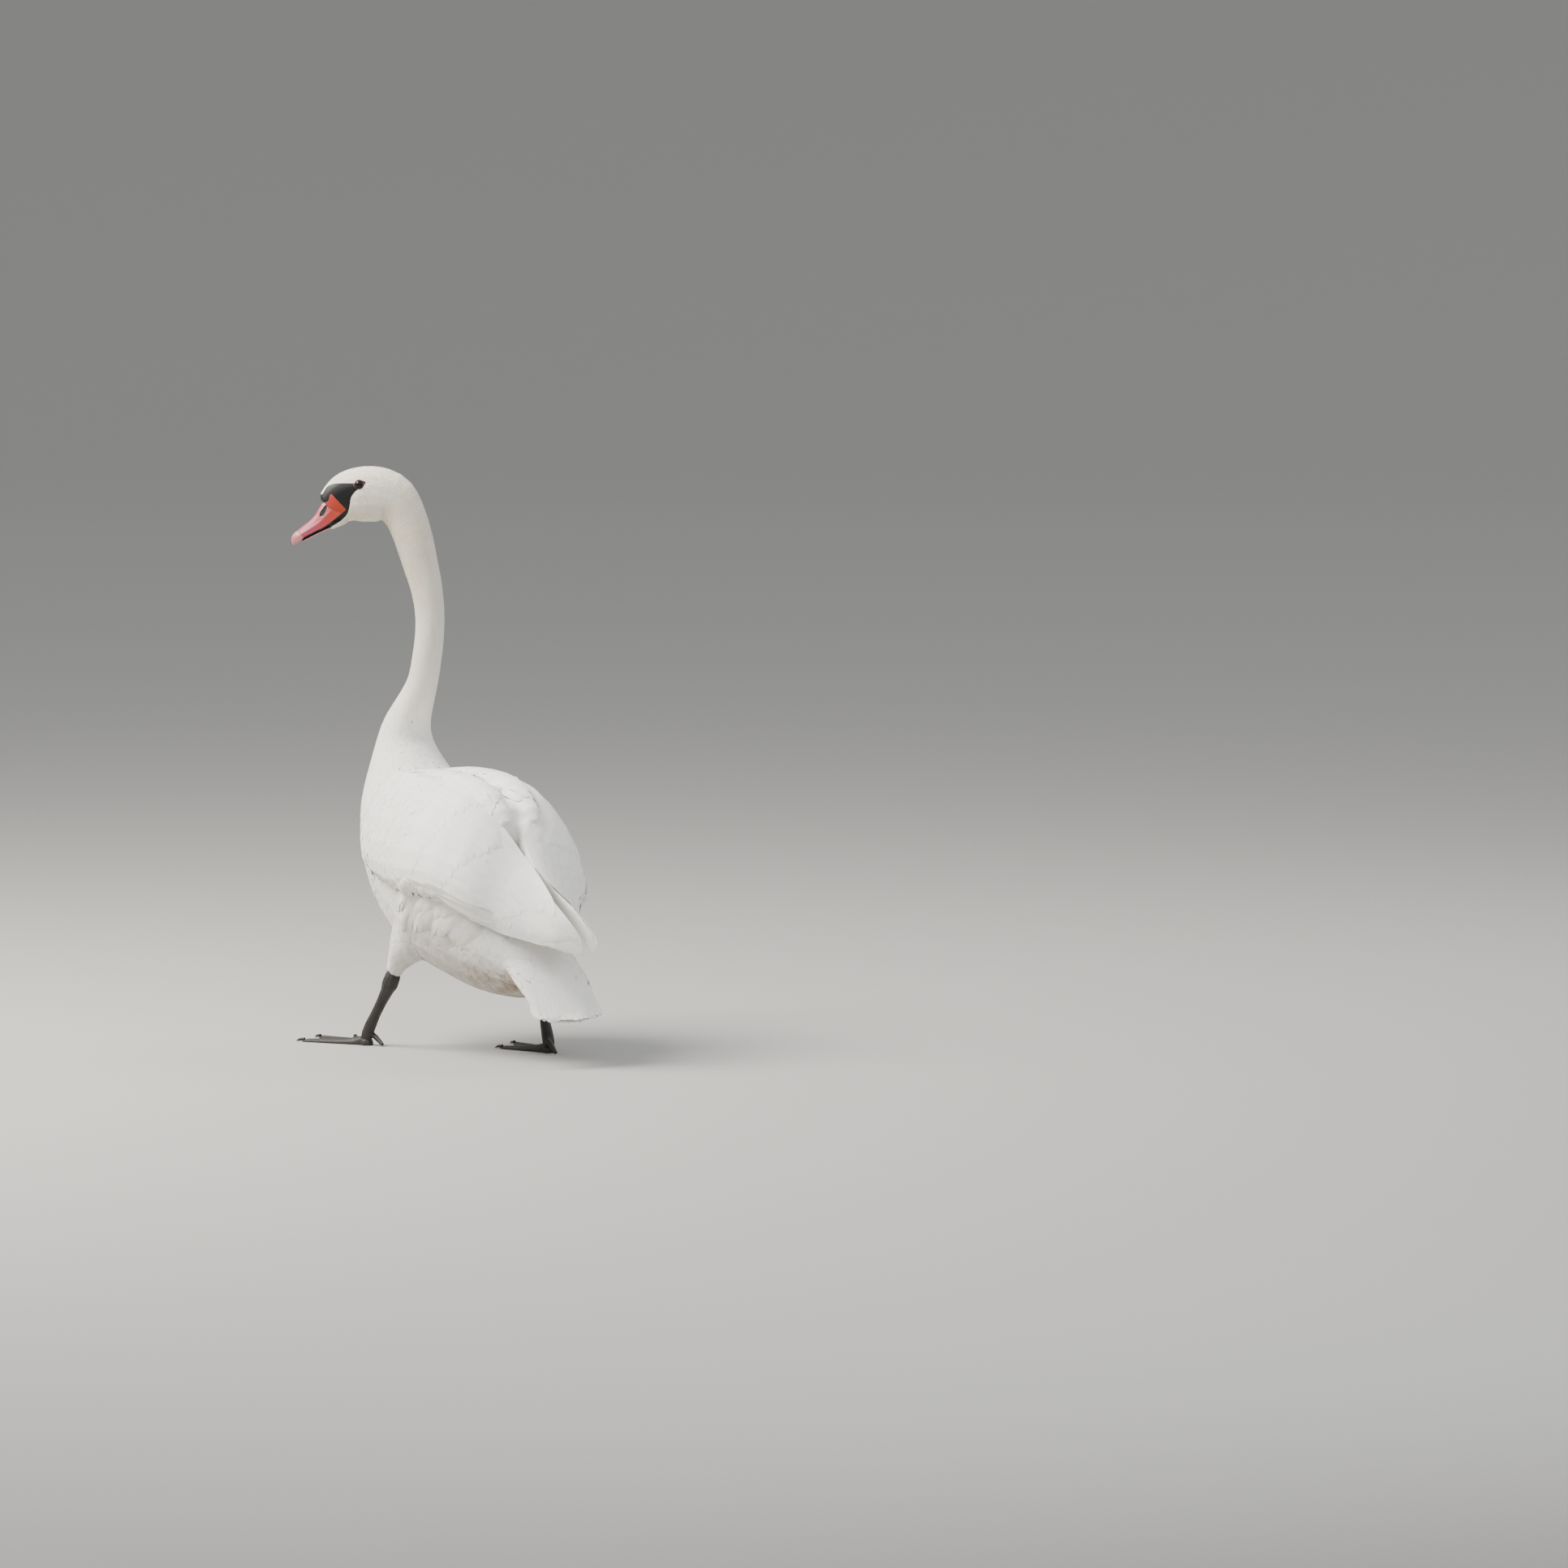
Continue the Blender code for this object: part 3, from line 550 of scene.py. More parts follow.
# %% [markdown]
# ### Tracts
# The coat is grown in tracts, each a piece of its own with its own size of feather. A tract is a
# share between 0 and 1 at each point of the skin. Over the rear of the wings and shoulders it
# gives way to rows of long feathers that are laid one by one.
# %% Tracts
SMALL_COVERTS_END = 0.37  # as a share of the wing's length
SHOULDER_COAT_END = 0.30
BREAST_END = -60 * MM
TAIL_COVERTS_END = 70 * MM  # above the tip of the tail
wing_front, wing_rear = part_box("wing_left")[0].y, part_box("flight_feathers_left")[1].y
along_wing = (skin_points[:, 1] - wing_front) / (wing_rear - wing_front)
small_coverts = ramp(-along_wing, -SMALL_COVERTS_END - 0.06, -SMALL_COVERTS_END + 0.02)
TRACTS = {
    "head": owned("head") * feathered,
    "neck": owned("neck_upper", "neck_middle"),
    "neck_foot": owned("neck_lower"),
    "trunk_front": owned("trunk") * (skin_points[:, 1] < BREAST_END),
    "trunk_rear": owned("trunk") * (skin_points[:, 1] >= BREAST_END),
    "thighs": owned("thigh_left", "thigh_right"),
    "wing_left": owned("wing_left") * small_coverts,
    "wing_right": owned("wing_right") * small_coverts,
    "shoulders": owned("scapulars_left", "scapulars_right") * (along_wing < SHOULDER_COAT_END),
    "tail": owned("tail") * (skin_points[:, 2] > tail_low.z + TAIL_COVERTS_END),
}
for tract, share in TRACTS.items():
    give(skin.data, "tract_" + tract, share)
print("tracts:", *TRACTS)

# %% [markdown]
# ### An unwrap of the skin
# Each feather will be painted from one small patch of the skin's map, so the skin is unwrapped
# once, by the directions that its faces look in.
# %% Unwrap
bpy.context.view_layer.objects.active = skin
skin.select_set(True)
bpy.ops.object.mode_set(mode="EDIT")
bpy.ops.mesh.select_all(action="SELECT")
bpy.ops.uv.smart_project(angle_limit=math.radians(66), island_margin=0.002)
bpy.ops.object.mode_set(mode="OBJECT")
skin.select_set(False)
skin.data.uv_layers.active.name = "SkinMap"
print("skin unwrapped")


# %% [markdown]
# ## Materials
# Feather keratin is clear; it is white because air inside the barbs scatters all light. It is
# matt, slightly translucent and a little brighter at grazing angles, from the barbs that stand on
# end there.
# %% Marks shared by skin and coat
WHITE = linear("#F3F1EC")
CREAM = linear("#E6D6AE")
# The grey-brown of mud, which also serves as painted shade on the underside.
MUD_AND_SHADE = linear("#7D6647")


def new_material(name):
    material = bpy.data.materials.new(name)
    material.use_nodes = True
    return material, material.node_tree, material.node_tree.nodes["Principled BSDF"]


def marked_colour(tree):
    """White, with the cream and the mud and painted shade of the marks, broken up by fine noise."""
    marks = add(tree, "ShaderNodeAttribute", attribute_name="marks")
    parts = add(tree, "ShaderNodeSeparateXYZ", {"Vector": marks.outputs["Vector"]})
    where = add(tree, "ShaderNodeTexCoord").outputs["Object"]
    cloud = add(tree, "ShaderNodeTexNoise", {"Vector": where, "Scale": 45.0, "Detail": 3.0})
    cloudy = {"Value": cloud, "From Min": 0.3, "From Max": 0.7, "To Min": 0.55}
    patchy = add(tree, "ShaderNodeMapRange", cloudy)
    creamy, mud_and_shade_amount = [
        add(tree, "ShaderNodeMath", {0: parts.outputs[axis], 1: patchy}, operation="MULTIPLY")
        for axis in "XY"
    ]
    first = add(tree, "ShaderNodeMix", {0: creamy, 6: WHITE, 7: CREAM}, data_type="RGBA")
    return add(tree, "ShaderNodeMix", {0: mud_and_shade_amount, 6: first, 7: MUD_AND_SHADE}, data_type="RGBA"), where


# %% [markdown]
# ### Feather
# The barbs of a vane run from its shaft to its edges as fine lines. They are drawn 1.3 mm apart,
# coarser than life, so that they show as a faint grain on the large feathers. Their pattern reads
# the vane's own map.
# %% Feather material
BARB_PITCH = 1.3 * MM
BARB_SLANT = -0.8  # how far a barb runs towards the root for each step to its side

feather, tree, shader = new_material("feather_keratin")
colour, where = marked_colour(tree)
vane_map = add(tree, "ShaderNodeUVMap", uv_map="Barbs")
parts = add(tree, "ShaderNodeSeparateXYZ", {"Vector": vane_map}).outputs
aside = add(tree, "ShaderNodeMath", {0: parts["X"]}, operation="ABSOLUTE")
slant = add(tree, "ShaderNodeMath", {0: aside, 1: BARB_SLANT, 2: parts["Y"]}, operation="MULTIPLY_ADD")
phase = add(tree, "ShaderNodeMath", {0: slant, 1: math.tau / BARB_PITCH}, operation="MULTIPLY")
barbs = add(tree, "ShaderNodeMath", {0: phase}, operation="SINE")
bump = add(tree, "ShaderNodeBump", {"Height": barbs, "Strength": 0.35, "Distance": 0.2 * MM})
matt_and_translucent = {
    "Base Color": colour, "Normal": bump, "Roughness": 0.62, "Sheen Weight": 0.15, "IOR": 1.54,
    "Subsurface Weight": 0.12, "Subsurface Radius": (1.0, 0.95, 0.9), "Subsurface Scale": 1.2 * MM,
}
feed(tree, shader, matt_and_translucent)

# %% [markdown]
# ### Bare and feathered skin
# The lores, between eye and bill, are black bare skin with a fine leathery grain. Where the skin
# is hidden by the coat it takes the coat's colour, so that a gap between feathers never shows
# dark.
# %% Outlines and the bill's colours
LORES = linear("#09090C")
CORAL = linear("#AA391F")
PINK = linear("#9E3C50")
EDGE = 0.35 * MM
FLUSH = {"Subsurface Weight": 0.1, "Subsurface Radius": (1.0, 0.4, 0.25), "Subsurface Scale": 2.0 * MM}


def edge_mask(tree, name):
    """1 inside an outline of the face and 0 outside, with a soft edge."""
    distance = add(tree, "ShaderNodeAttribute", attribute_name=name).outputs["Fac"]
    across = {"Value": distance, "From Min": EDGE, "From Max": -EDGE}
    return add(tree, "ShaderNodeMapRange", across, interpolation_type="SMOOTHSTEP")


def horn_colour(tree, where):
    """Coral at the bill's base and pink towards its tip."""
    ahead = add(tree, "ShaderNodeAttribute", attribute_name="ahead").outputs["Fac"]
    cloud = add(tree, "ShaderNodeTexNoise", {"Vector": where, "Scale": 90.0, "Detail": 4.0})
    shifted = add(tree, "ShaderNodeMath", {0: cloud, 1: 14 * MM, 2: ahead}, operation="MULTIPLY_ADD")
    reach = {"Value": shifted, "From Min": 42 * MM, "From Max": 78 * MM}
    share = add(tree, "ShaderNodeMapRange", reach)
    return add(tree, "ShaderNodeMix", {0: share, 6: CORAL, 7: PINK}, data_type="RGBA")


# %% Skin material
GRAIN = 1.1 * MM

skin_finish, tree, shader = new_material("bird_skin")
colour, where = marked_colour(tree)
orange = edge_mask(tree, "orange")
face = add(tree, "ShaderNodeMix", {0: orange, 6: LORES, 7: horn_colour(tree, where)}, data_type="RGBA")
bare = edge_mask(tree, "bare")
whole = add(tree, "ShaderNodeMix", {0: bare, 6: colour, 7: face}, data_type="RGBA")
grain = add(tree, "ShaderNodeTexVoronoi", {"Vector": where, "Scale": 1 / GRAIN}).outputs["Distance"]
bump = add(tree, "ShaderNodeBump", {"Height": grain, "Strength": 0.15, "Distance": 0.2 * MM})
waxy = add(tree, "ShaderNodeMapRange", {"Value": orange, "To Min": 0.5, "To Max": 0.38})
feed(tree, shader, {"Base Color": whole, "Normal": bump, "Roughness": waxy, "IOR": 1.4, **FLUSH})
skin.data.materials.append(skin_finish)

# %% [markdown]
# ### Horn
# The bill is horn over bone: smooth, waxy, and lit a little from inside. Its nail is pinker,
# and darkest under its tip, and the nostrils are matt and black. The lower bill is dark at its
# edge and pale below.
# %% Bill and mandible
NAIL_PALE = linear("#B27678")
NAIL_DARK = linear("#3A2A26")

horn, tree, shader = new_material("bill_horn")
where = add(tree, "ShaderNodeTexCoord").outputs["Object"]
nostril = edge_mask(tree, "nostril")
nail, dark_spot = [
    add(tree, "ShaderNodeAttribute", attribute_name=name).outputs["Fac"]
    for name in ("nail", "nail_dark")
]
tint = LORES
for mask, paint in (
    (edge_mask(tree, "orange"), horn_colour(tree, where)), (nostril, LORES), (nail, NAIL_PALE),
    (dark_spot, NAIL_DARK),
):
    tint = add(tree, "ShaderNodeMix", {0: mask, 6: tint, 7: paint}, data_type="RGBA")
wax = add(tree, "ShaderNodeTexNoise", {"Vector": where, "Scale": 1 / (2.5 * MM), "Detail": 5.0})
bump = add(tree, "ShaderNodeBump", {"Height": wax, "Strength": 0.2, "Distance": 0.25 * MM})
gloss = add(tree, "ShaderNodeMapRange", {"Value": wax, "To Min": 0.28, "To Max": 0.46})
dull = add(tree, "ShaderNodeMapRange", {"Value": nostril, "To Max": 0.85})
gloss = add(tree, "ShaderNodeMath", {0: gloss, 1: dull}, operation="MAXIMUM")
feed(tree, shader, {"Base Color": tint, "Normal": bump, "Roughness": gloss, "IOR": 1.55, **FLUSH})

mandible, tree, shader = new_material("mandible_horn")
under = add(tree, "ShaderNodeAttribute", attribute_name="under").outputs["Fac"]
paler = add(tree, "ShaderNodeMapRange", {"Value": under, "From Min": 0.15, "From Max": 0.6})
edge_and_underside = {0: paler, 6: linear("#1F171A"), 7: linear("#B0736B")}
tint = add(tree, "ShaderNodeMix", edge_and_underside, data_type="RGBA")
feed(tree, shader, {"Base Color": tint, "Roughness": 0.4, "IOR": 1.55})

# %% [markdown]
# ### Eye
# The eye is a wet, nearly black hazel under a clear cornea. One attribute, which grows from the
# middle of the gaze outwards, colours the pupil and the iris.
# %% Cornea
cornea, tree, shader = new_material("wet_cornea")
iris = add(tree, "ShaderNodeAttribute", attribute_name="gaze").outputs["Fac"]
rings = add(tree, "ShaderNodeValToRGB", {"Fac": iris})
pupil, edge = rings.color_ramp.elements
pupil.position, pupil.color = 0.33, linear("#050404")
edge.position, edge.color = 0.38, linear("#1E100B")
rings.color_ramp.elements.new(0.85).color = linear("#140B08")
feed(tree, shader, {"Base Color": rings, "Roughness": 0.06, "IOR": 1.376})

# %% [markdown]
# ### Leathery skin and claws
# Feet and eyelids are leathery skin in small cells, with paler dust in the grooves. The claws are
# the same horn worn smooth, so the same function makes them with large, shallow cells.
# %% Scales, lids and claws
def leathery(name, dark, light, cell, depth, roughness):
    """Black skin in cells, with paler dust between them."""
    material, tree, shader = new_material(name)
    where = add(tree, "ShaderNodeTexCoord").outputs["Object"]
    cells = {"Vector": where, "Scale": 1 / cell}
    cells = add(tree, "ShaderNodeTexVoronoi", cells, feature="DISTANCE_TO_EDGE").outputs["Distance"]
    flat = add(tree, "ShaderNodeMapRange", {"Value": cells, "From Max": 0.18})
    dust = add(tree, "ShaderNodeTexNoise", {"Vector": where, "Scale": 60.0, "Detail": 5.0})
    clean = add(tree, "ShaderNodeMapRange", {"Value": dust, "From Min": 0.35, "From Max": 0.65})
    both = add(tree, "ShaderNodeMath", {0: flat, 1: clean}, operation="MAXIMUM")
    tint = add(tree, "ShaderNodeMix", {0: both, 6: linear(light), 7: linear(dark)}, data_type="RGBA")
    bump = add(tree, "ShaderNodeBump", {"Height": flat, "Strength": 0.6, "Distance": depth})
    feed(tree, shader, {"Base Color": tint, "Normal": bump, "Roughness": roughness})
    return material


scale_skin = leathery("scaled_skin", "#141213", "#37302B", 2.0 * MM, 0.3 * MM, 0.5)
lid_skin = leathery("lid_skin", "#35160F", "#4A2417", 0.9 * MM, 0.12 * MM, 0.5)
claw_horn = leathery("claw_horn", "#16130F", "#2B251D", 6 * MM, 0.05 * MM, 0.35)
print("materials:", len(bpy.data.materials))

# %% [markdown]
# ## A feather
# A contour feather is a curved blade: narrow at its root, broadest past the middle, rounded at
# its tip and bowed across. It is drawn here once in unit size as a thin closed shell. x runs
# across it, y along it, and z is how high it stands, where 1 is the height of its tip.
# %% Vane shapes
ROOT_HEIGHT = 0.35  # of a vane's tip height
RIM = 0.15  # of its thickness
NOTCHES_START = 0.45
BARB_MAP = (0.012, 0.03)  # how broad and long the map of barbs takes a scattered feather to be


def half_width(y, base, widest):
    """Half the width of a unit feather at a station."""
    if y < widest:
        return base + (0.5 - base) * math.sin(y / widest * math.pi / 2)
    return 0.5 * math.sqrt(max(1 - ((y - widest) / (1.0 - widest)) ** 2.2, 0))


def vane(name, rows, columns, base, widest, cup, thickness, notches=0.0):
    """
    A unit feather. rows are its stations from root to tip, with one point at the tip. Its rim is
    a sharp edge, so that the smooth shading of its upper face doesn't bend over and darken there.
    """
    mesh = bmesh.new()
    barbs = mesh.loops.layers.uv.new("Barbs")
    patch = mesh.loops.layers.uv.new("Patch")
    across = np.linspace(-1, 1, columns)
    layers = []
    for under in (0.0, 1.0):
        grid = []
        for y in rows:
            half = half_width(y, base, widest)
            line = []
            for k, x in enumerate(across):
                lag = notches * (k % 2) * max(0.0, y - NOTCHES_START) / (1 - NOTCHES_START)
                height = ROOT_HEIGHT + (1 - ROOT_HEIGHT) * y - cup * x * x * y
                height -= under * thickness * (1 - abs(x)) + under * thickness * RIM
                line.append(mesh.verts.new((x * half, y - lag, height)))
            grid.append(line)
        grid.append([mesh.verts.new((0, 1, 1.0 - under * thickness * 2 * RIM))])
        layers.append(grid)
    top, bottom = layers
    for grid, flip in ((top, False), (bottom, True)):
        for a, b in zip(grid[:-2], grid[1:-1]):
            for k in range(columns - 1):
                ring = [a[k], a[k + 1], b[k + 1], b[k]]
                mesh.faces.new(ring[::-1] if flip else ring)
        last, tip = grid[-2], grid[-1][0]
        for k in range(columns - 1):
            ring = [last[k], last[k + 1], tip]
            mesh.faces.new(ring[::-1] if flip else ring)
    rim_top, rim_bottom = [
        [line[0] for line in grid] + [line[-1] for line in grid[-2::-1]] for grid in (top, bottom)
    ]
    rim = set(rim_top)
    pairs = zip(rim_bottom + bottom[0][1:-1], rim_top + top[0][1:-1])
    bmesh.ops.weld_verts(mesh, targetmap=dict(pairs))
    for edge in mesh.edges:
        edge.smooth = not (edge.verts[0] in rim and edge.verts[1] in rim)
    bmesh.ops.recalc_face_normals(mesh, faces=mesh.faces)
    for face in mesh.faces:
        for loop in face.loops:
            x, y = loop.vert.co.xy
            loop[barbs].uv = (x * BARB_MAP[0], y * BARB_MAP[1])
            loop[patch].uv = (x, y - 0.5)
    data = mesh_from(mesh, name)
    give(data, "rise", points_of(data)[:, 2])
    return new_object(name, data)


tuft = vane("vane_tuft", (0, 0.45, 0.8), 3, 0.28, 0.5, 0.16, 0.2)
short_vane = vane("vane_short", (0, 0.3, 0.6, 0.85), 3, 0.25, 0.5, 0.20, 0.16)
body_vane = vane("vane_body", (0, 0.25, 0.5, 0.72, 0.88), 5, 0.25, 0.55, 0.22, 0.10, 0.05)
for shape in (tuft, short_vane, body_vane):
    print(shape.name, "has", triangles_of(shape), "triangles")

# %% [markdown]
# ## Growing the coat
# Several thousand feathers could be placed by hand-written loops, by particles, or by Geometry
# Nodes. Nodes are used because they scatter evenly over any surface and stay readable: roots are
# scattered at least one spacing apart, a vane is set on each along the way the coat lies, and the
# vanes are then drawn down onto the skin, each point keeping its own height above it, so that
# they bend round the neck instead of sticking out of it.
# %% The plumage tree
PATCH = 0.003  # how large each feather's patch is on the skin's map
CROWDED = 3.0  # tries for each place, so that the spacing alone limits the roots
SIZE_SPREAD = (0.8, 1.2)
INPUTS = {
    "Skin": "Geometry", "Vane": "Object", "Tract": "String", "Spacing": "Float", "Sway": "Float",
    "Ruffle": "Float", "Seed": "Int", "Finish": "Material",
}


def plumage_tree():
    tree = bpy.data.node_groups.new("plumage", "GeometryNodeTree")
    for name, kind in INPUTS.items():
        tree.interface.new_socket(name=name, in_out="INPUT", socket_type="NodeSocket" + kind)
    tree.interface.new_socket(name="Coat", in_out="OUTPUT", socket_type="NodeSocketGeometry")
    enter = add(tree, "NodeGroupInput").outputs

    # What the tree reads from the skin, from the vane, and from its own earlier steps.
    reads = {}
    for name in ("SkinMap", "marks", "size", "out", "way", "Patch", "root_uv", "rise", "lift", "jitter"):
        kind = "FLOAT" if name in ("rise", "lift", "jitter") else "FLOAT_VECTOR"
        reads[name] = add(tree, "GeometryNodeInputNamedAttribute", {"Name": name}, data_type=kind)
    size = add(tree, "ShaderNodeSeparateXYZ", {"Vector": reads["size"]}).outputs

    # Three random numbers for each feather: for its height, its sway and its size.
    chances = []
    for low, high, offset in ((0.0, 1.0, 11.0), (-1.0, 1.0, 23.0), (*SIZE_SPREAD, 37.0)):
        seed = add(tree, "ShaderNodeMath", {0: enter["Seed"], 1: offset}, operation="ADD")
        limits = {2: low, 3: high, "Seed": seed}
        draw = add(tree, "FunctionNodeRandomValue", limits, data_type="FLOAT")
        chances.append(draw.outputs[1])
    jitter, swing, grown = chances

    # Roots, each with what its feather will need.
    crowd = add(tree, "ShaderNodeMath", {0: enter["Spacing"], 1: -2.0}, operation="POWER")
    crowd = add(tree, "ShaderNodeMath", {0: crowd, 1: CROWDED}, operation="MULTIPLY")
    tract = {"Name": enter["Tract"]}
    tract = add(tree, "GeometryNodeInputNamedAttribute", tract, data_type="FLOAT")
    where = {
        "Mesh": enter["Skin"], "Distance Min": enter["Spacing"], "Density Max": crowd,
        "Density Factor": tract, "Seed": enter["Seed"],
    }
    roots = add(tree, "GeometryNodeDistributePointsOnFaces", where, distribute_method="POISSON")
    points = roots.outputs["Points"]
    for name, value, kind in (
        ("root_uv", reads["SkinMap"], "FLOAT_VECTOR"), ("marks", reads["marks"], "FLOAT_VECTOR"),
        ("lift", size["Z"], "FLOAT"), ("jitter", jitter, "FLOAT"),
    ):
        kept = {"Geometry": points, "Name": name, "Value": value}
        points = add(tree, "GeometryNodeStoreNamedAttribute", kept, data_type=kind, domain="POINT")

    # A vane on each root, turned the way the coat lies and swayed a little.
    axes = {"Primary Axis": reads["out"], "Secondary Axis": reads["way"]}
    turned = add(tree, "FunctionNodeAxesToRotation", axes, primary_axis="Z", secondary_axis="Y")
    sway = add(tree, "ShaderNodeMath", {0: swing, 1: enter["Sway"]}, operation="MULTIPLY")
    sway = add(tree, "ShaderNodeCombineXYZ", {"Z": sway})
    sway = add(tree, "FunctionNodeEulerToRotation", {"Euler": sway})
    swayed = {"Rotation": turned, "Rotate By": sway}
    turned = add(tree, "FunctionNodeRotateRotation", swayed, rotation_space="LOCAL")
    across, along = [
        add(tree, "ShaderNodeMath", {0: size[axis], 1: grown}, operation="MULTIPLY") for axis in "XY"
    ]
    scale = add(tree, "ShaderNodeCombineXYZ", {"X": across, "Y": along, "Z": size["Z"]})
    shape = add(tree, "GeometryNodeObjectInfo", {"Object": enter["Vane"]}).outputs["Geometry"]
    planted = {"Points": points, "Instance": shape, "Rotation": turned, "Scale": scale}
    real = add(tree, "GeometryNodeInstanceOnPoints", planted)
    real = add(tree, "GeometryNodeRealizeInstances", {"Geometry": real})

    # Every point is drawn down to its own height over the skin.
    below = []
    for value in (add(tree, "GeometryNodeInputPosition"), reads["out"]):
        nearest = {"Mesh": enter["Skin"], "Value": value}
        kind = "GeometryNodeSampleNearestSurface"
        below.append(add(tree, kind, nearest, data_type="FLOAT_VECTOR"))
    place, out = below
    uneven = {0: reads["jitter"], 1: enter["Ruffle"], 2: 1.0}
    uneven = add(tree, "ShaderNodeMath", uneven, operation="MULTIPLY_ADD")
    high = {0: reads["rise"], 1: reads["lift"]}
    high = add(tree, "ShaderNodeMath", high, operation="MULTIPLY")
    high = add(tree, "ShaderNodeMath", {0: high, 1: uneven}, operation="MULTIPLY")
    raised = {0: out, 1: high, 2: place}
    raised = add(tree, "ShaderNodeVectorMath", raised, operation="MULTIPLY_ADD")
    laid = add(tree, "GeometryNodeSetPosition", {"Geometry": real, "Position": raised})

    # The feather's patch on the skin's map.
    patch = {0: reads["Patch"], "Scale": PATCH}
    patch = add(tree, "ShaderNodeVectorMath", patch, operation="SCALE")
    spot = {0: patch, 1: reads["root_uv"]}
    spot = add(tree, "ShaderNodeVectorMath", spot, operation="ADD")
    baked = {"Geometry": laid, "Name": "OFBake", "Value": spot}
    laid = add(tree, "GeometryNodeStoreNamedAttribute", baked, data_type="FLOAT2", domain="CORNER")
    finished = add(tree, "GeometryNodeSetMaterial", {"Geometry": laid, "Material": enter["Finish"]})
    add(tree, "NodeGroupOutput", {"Coat": finished})
    return tree


plumage = plumage_tree()
sockets = {s.name: s.identifier for s in plumage.interface.items_tree if s.in_out == "INPUT"}
print("the plumage tree takes", *sockets)

# %% [markdown]
# ### The tracts of the coat
# Each tract is grown by the same tree with its own vane, spacing, sway and seed. What was only
# needed on the way is removed from the finished mesh, and its colour marks and its two maps stay.
# %% Grow the tracts
SPARE = ("size", "way", "out", "lift", "jitter", "rise", "root_uv", "Patch", "SkinMap")


def grow(name, tract, shape, spacing, sway, ruffle, seed):
    """One tract of the coat as a plain mesh."""
    made = new_object(name, skin.data.copy())
    made.data.materials.clear()
    nodes = made.modifiers.new("plumage", "NODES")
    nodes.node_group = plumage
    settings = {
        "Vane": shape, "Tract": "tract_" + tract, "Spacing": spacing, "Sway": math.radians(sway),
        "Ruffle": ruffle, "Seed": seed, "Finish": feather,
    }
    for socket, value in settings.items():
        nodes[sockets[socket]] = value
    apply_modifiers(made)
    for spare in SPARE + tuple("tract_" + t for t in TRACTS):
        attribute = made.data.attributes.get(spare)
        if attribute:
            made.data.attributes.remove(attribute)
    print(name, "has", triangles_of(made), "triangles")
    return made


coat = [
    grow("coat_head", "head", tuft, 1.55 * MM, 10, 0.2, 1),
    grow("coat_neck", "neck", short_vane, 2.5 * MM, 9, 0.2, 2),
    grow("coat_neck_foot", "neck_foot", short_vane, 3.9 * MM, 9, 0.2, 3),
    grow("coat_breast", "trunk_front", body_vane, 5.6 * MM, 11, 0.18, 4),
    grow("coat_belly", "trunk_rear", body_vane, 6.0 * MM, 11, 0.18, 5),
    grow("coat_thighs", "thighs", short_vane, 3.4 * MM, 12, 0.25, 6),
    grow("coat_wing_left", "wing_left", body_vane, 7.0 * MM, 5, 0.2, 7),
    grow("coat_wing_right", "wing_right", body_vane, 7.0 * MM, 5, 0.2, 8),
    grow("coat_shoulders", "shoulders", body_vane, 8.0 * MM, 6, 0.25, 9),
    grow("coat_tail", "tail", body_vane, 8.0 * MM, 6, 0.2, 11),
]

# %% [markdown]
# ## Long feathers
# The wing's large feathers are not scattered: each has its own place in a row, and the rows
# overlap like tiles. They could be instances of one mesh, but each must bend to its own part of
# the wing. So a quill is laid point by point: its plan is known, and a ray from outside finds the
# skin below each of its points.
# %% Laying a quill
skin_tree = BVHTree.FromObject(skin, bpy.context.evaluated_depsgraph_get())
skin_marks = numbers(skin.data.attributes["marks"].data, "vector", np.float32, 3)
skin_map = skin.data.uv_layers["SkinMap"].uv
QUILL_ROWS = (0.0, 0.08, 0.17, 0.27, 0.37, 0.47, 0.57, 0.66, 0.74, 0.81, 0.87, 0.92, 0.96, 0.985)
QUILL_COLUMNS = 9
QUILL_BASE = 0.35  # a quill's half width at its root, as a share of its widest
RIM_THICKNESS = 0.12 * MM
SHAFT_HEIGHT = 0.35 * MM


def skin_at(point):
    """The marks of the skin under a point, and that place on the skin's map."""
    face = skin.data.polygons[skin_tree.find_nearest(point)[2]]
    return skin_marks[face.vertices[0]], skin_map[face.loop_indices[0]].vector


def quill_half(y, base, blunt):
    """A feather's half width along its length, as a share of its widest."""
    opening = base + (1 - base) * math.sin(min(y / 0.35, 1) * math.pi / 2)
    closing = 1.0 if y < blunt else math.sqrt(max(1 - ((y - blunt) / (1.003 - blunt)) ** 2.2, 0))
    return opening * closing


def new_sheaf():
    return {"points": [], "faces": [], "marks": [], "barbs": [], "patch": []}


def quill_rise(sunk, high, opening, slope=0.0):
    """
    A quill's height over the skin: its root is sunk, and at the opening, a share of its length,
    it is up.
    """
    return lambda y, x: (-sunk + (high + sunk) * min(y / opening, 1) + slope * y) * MM


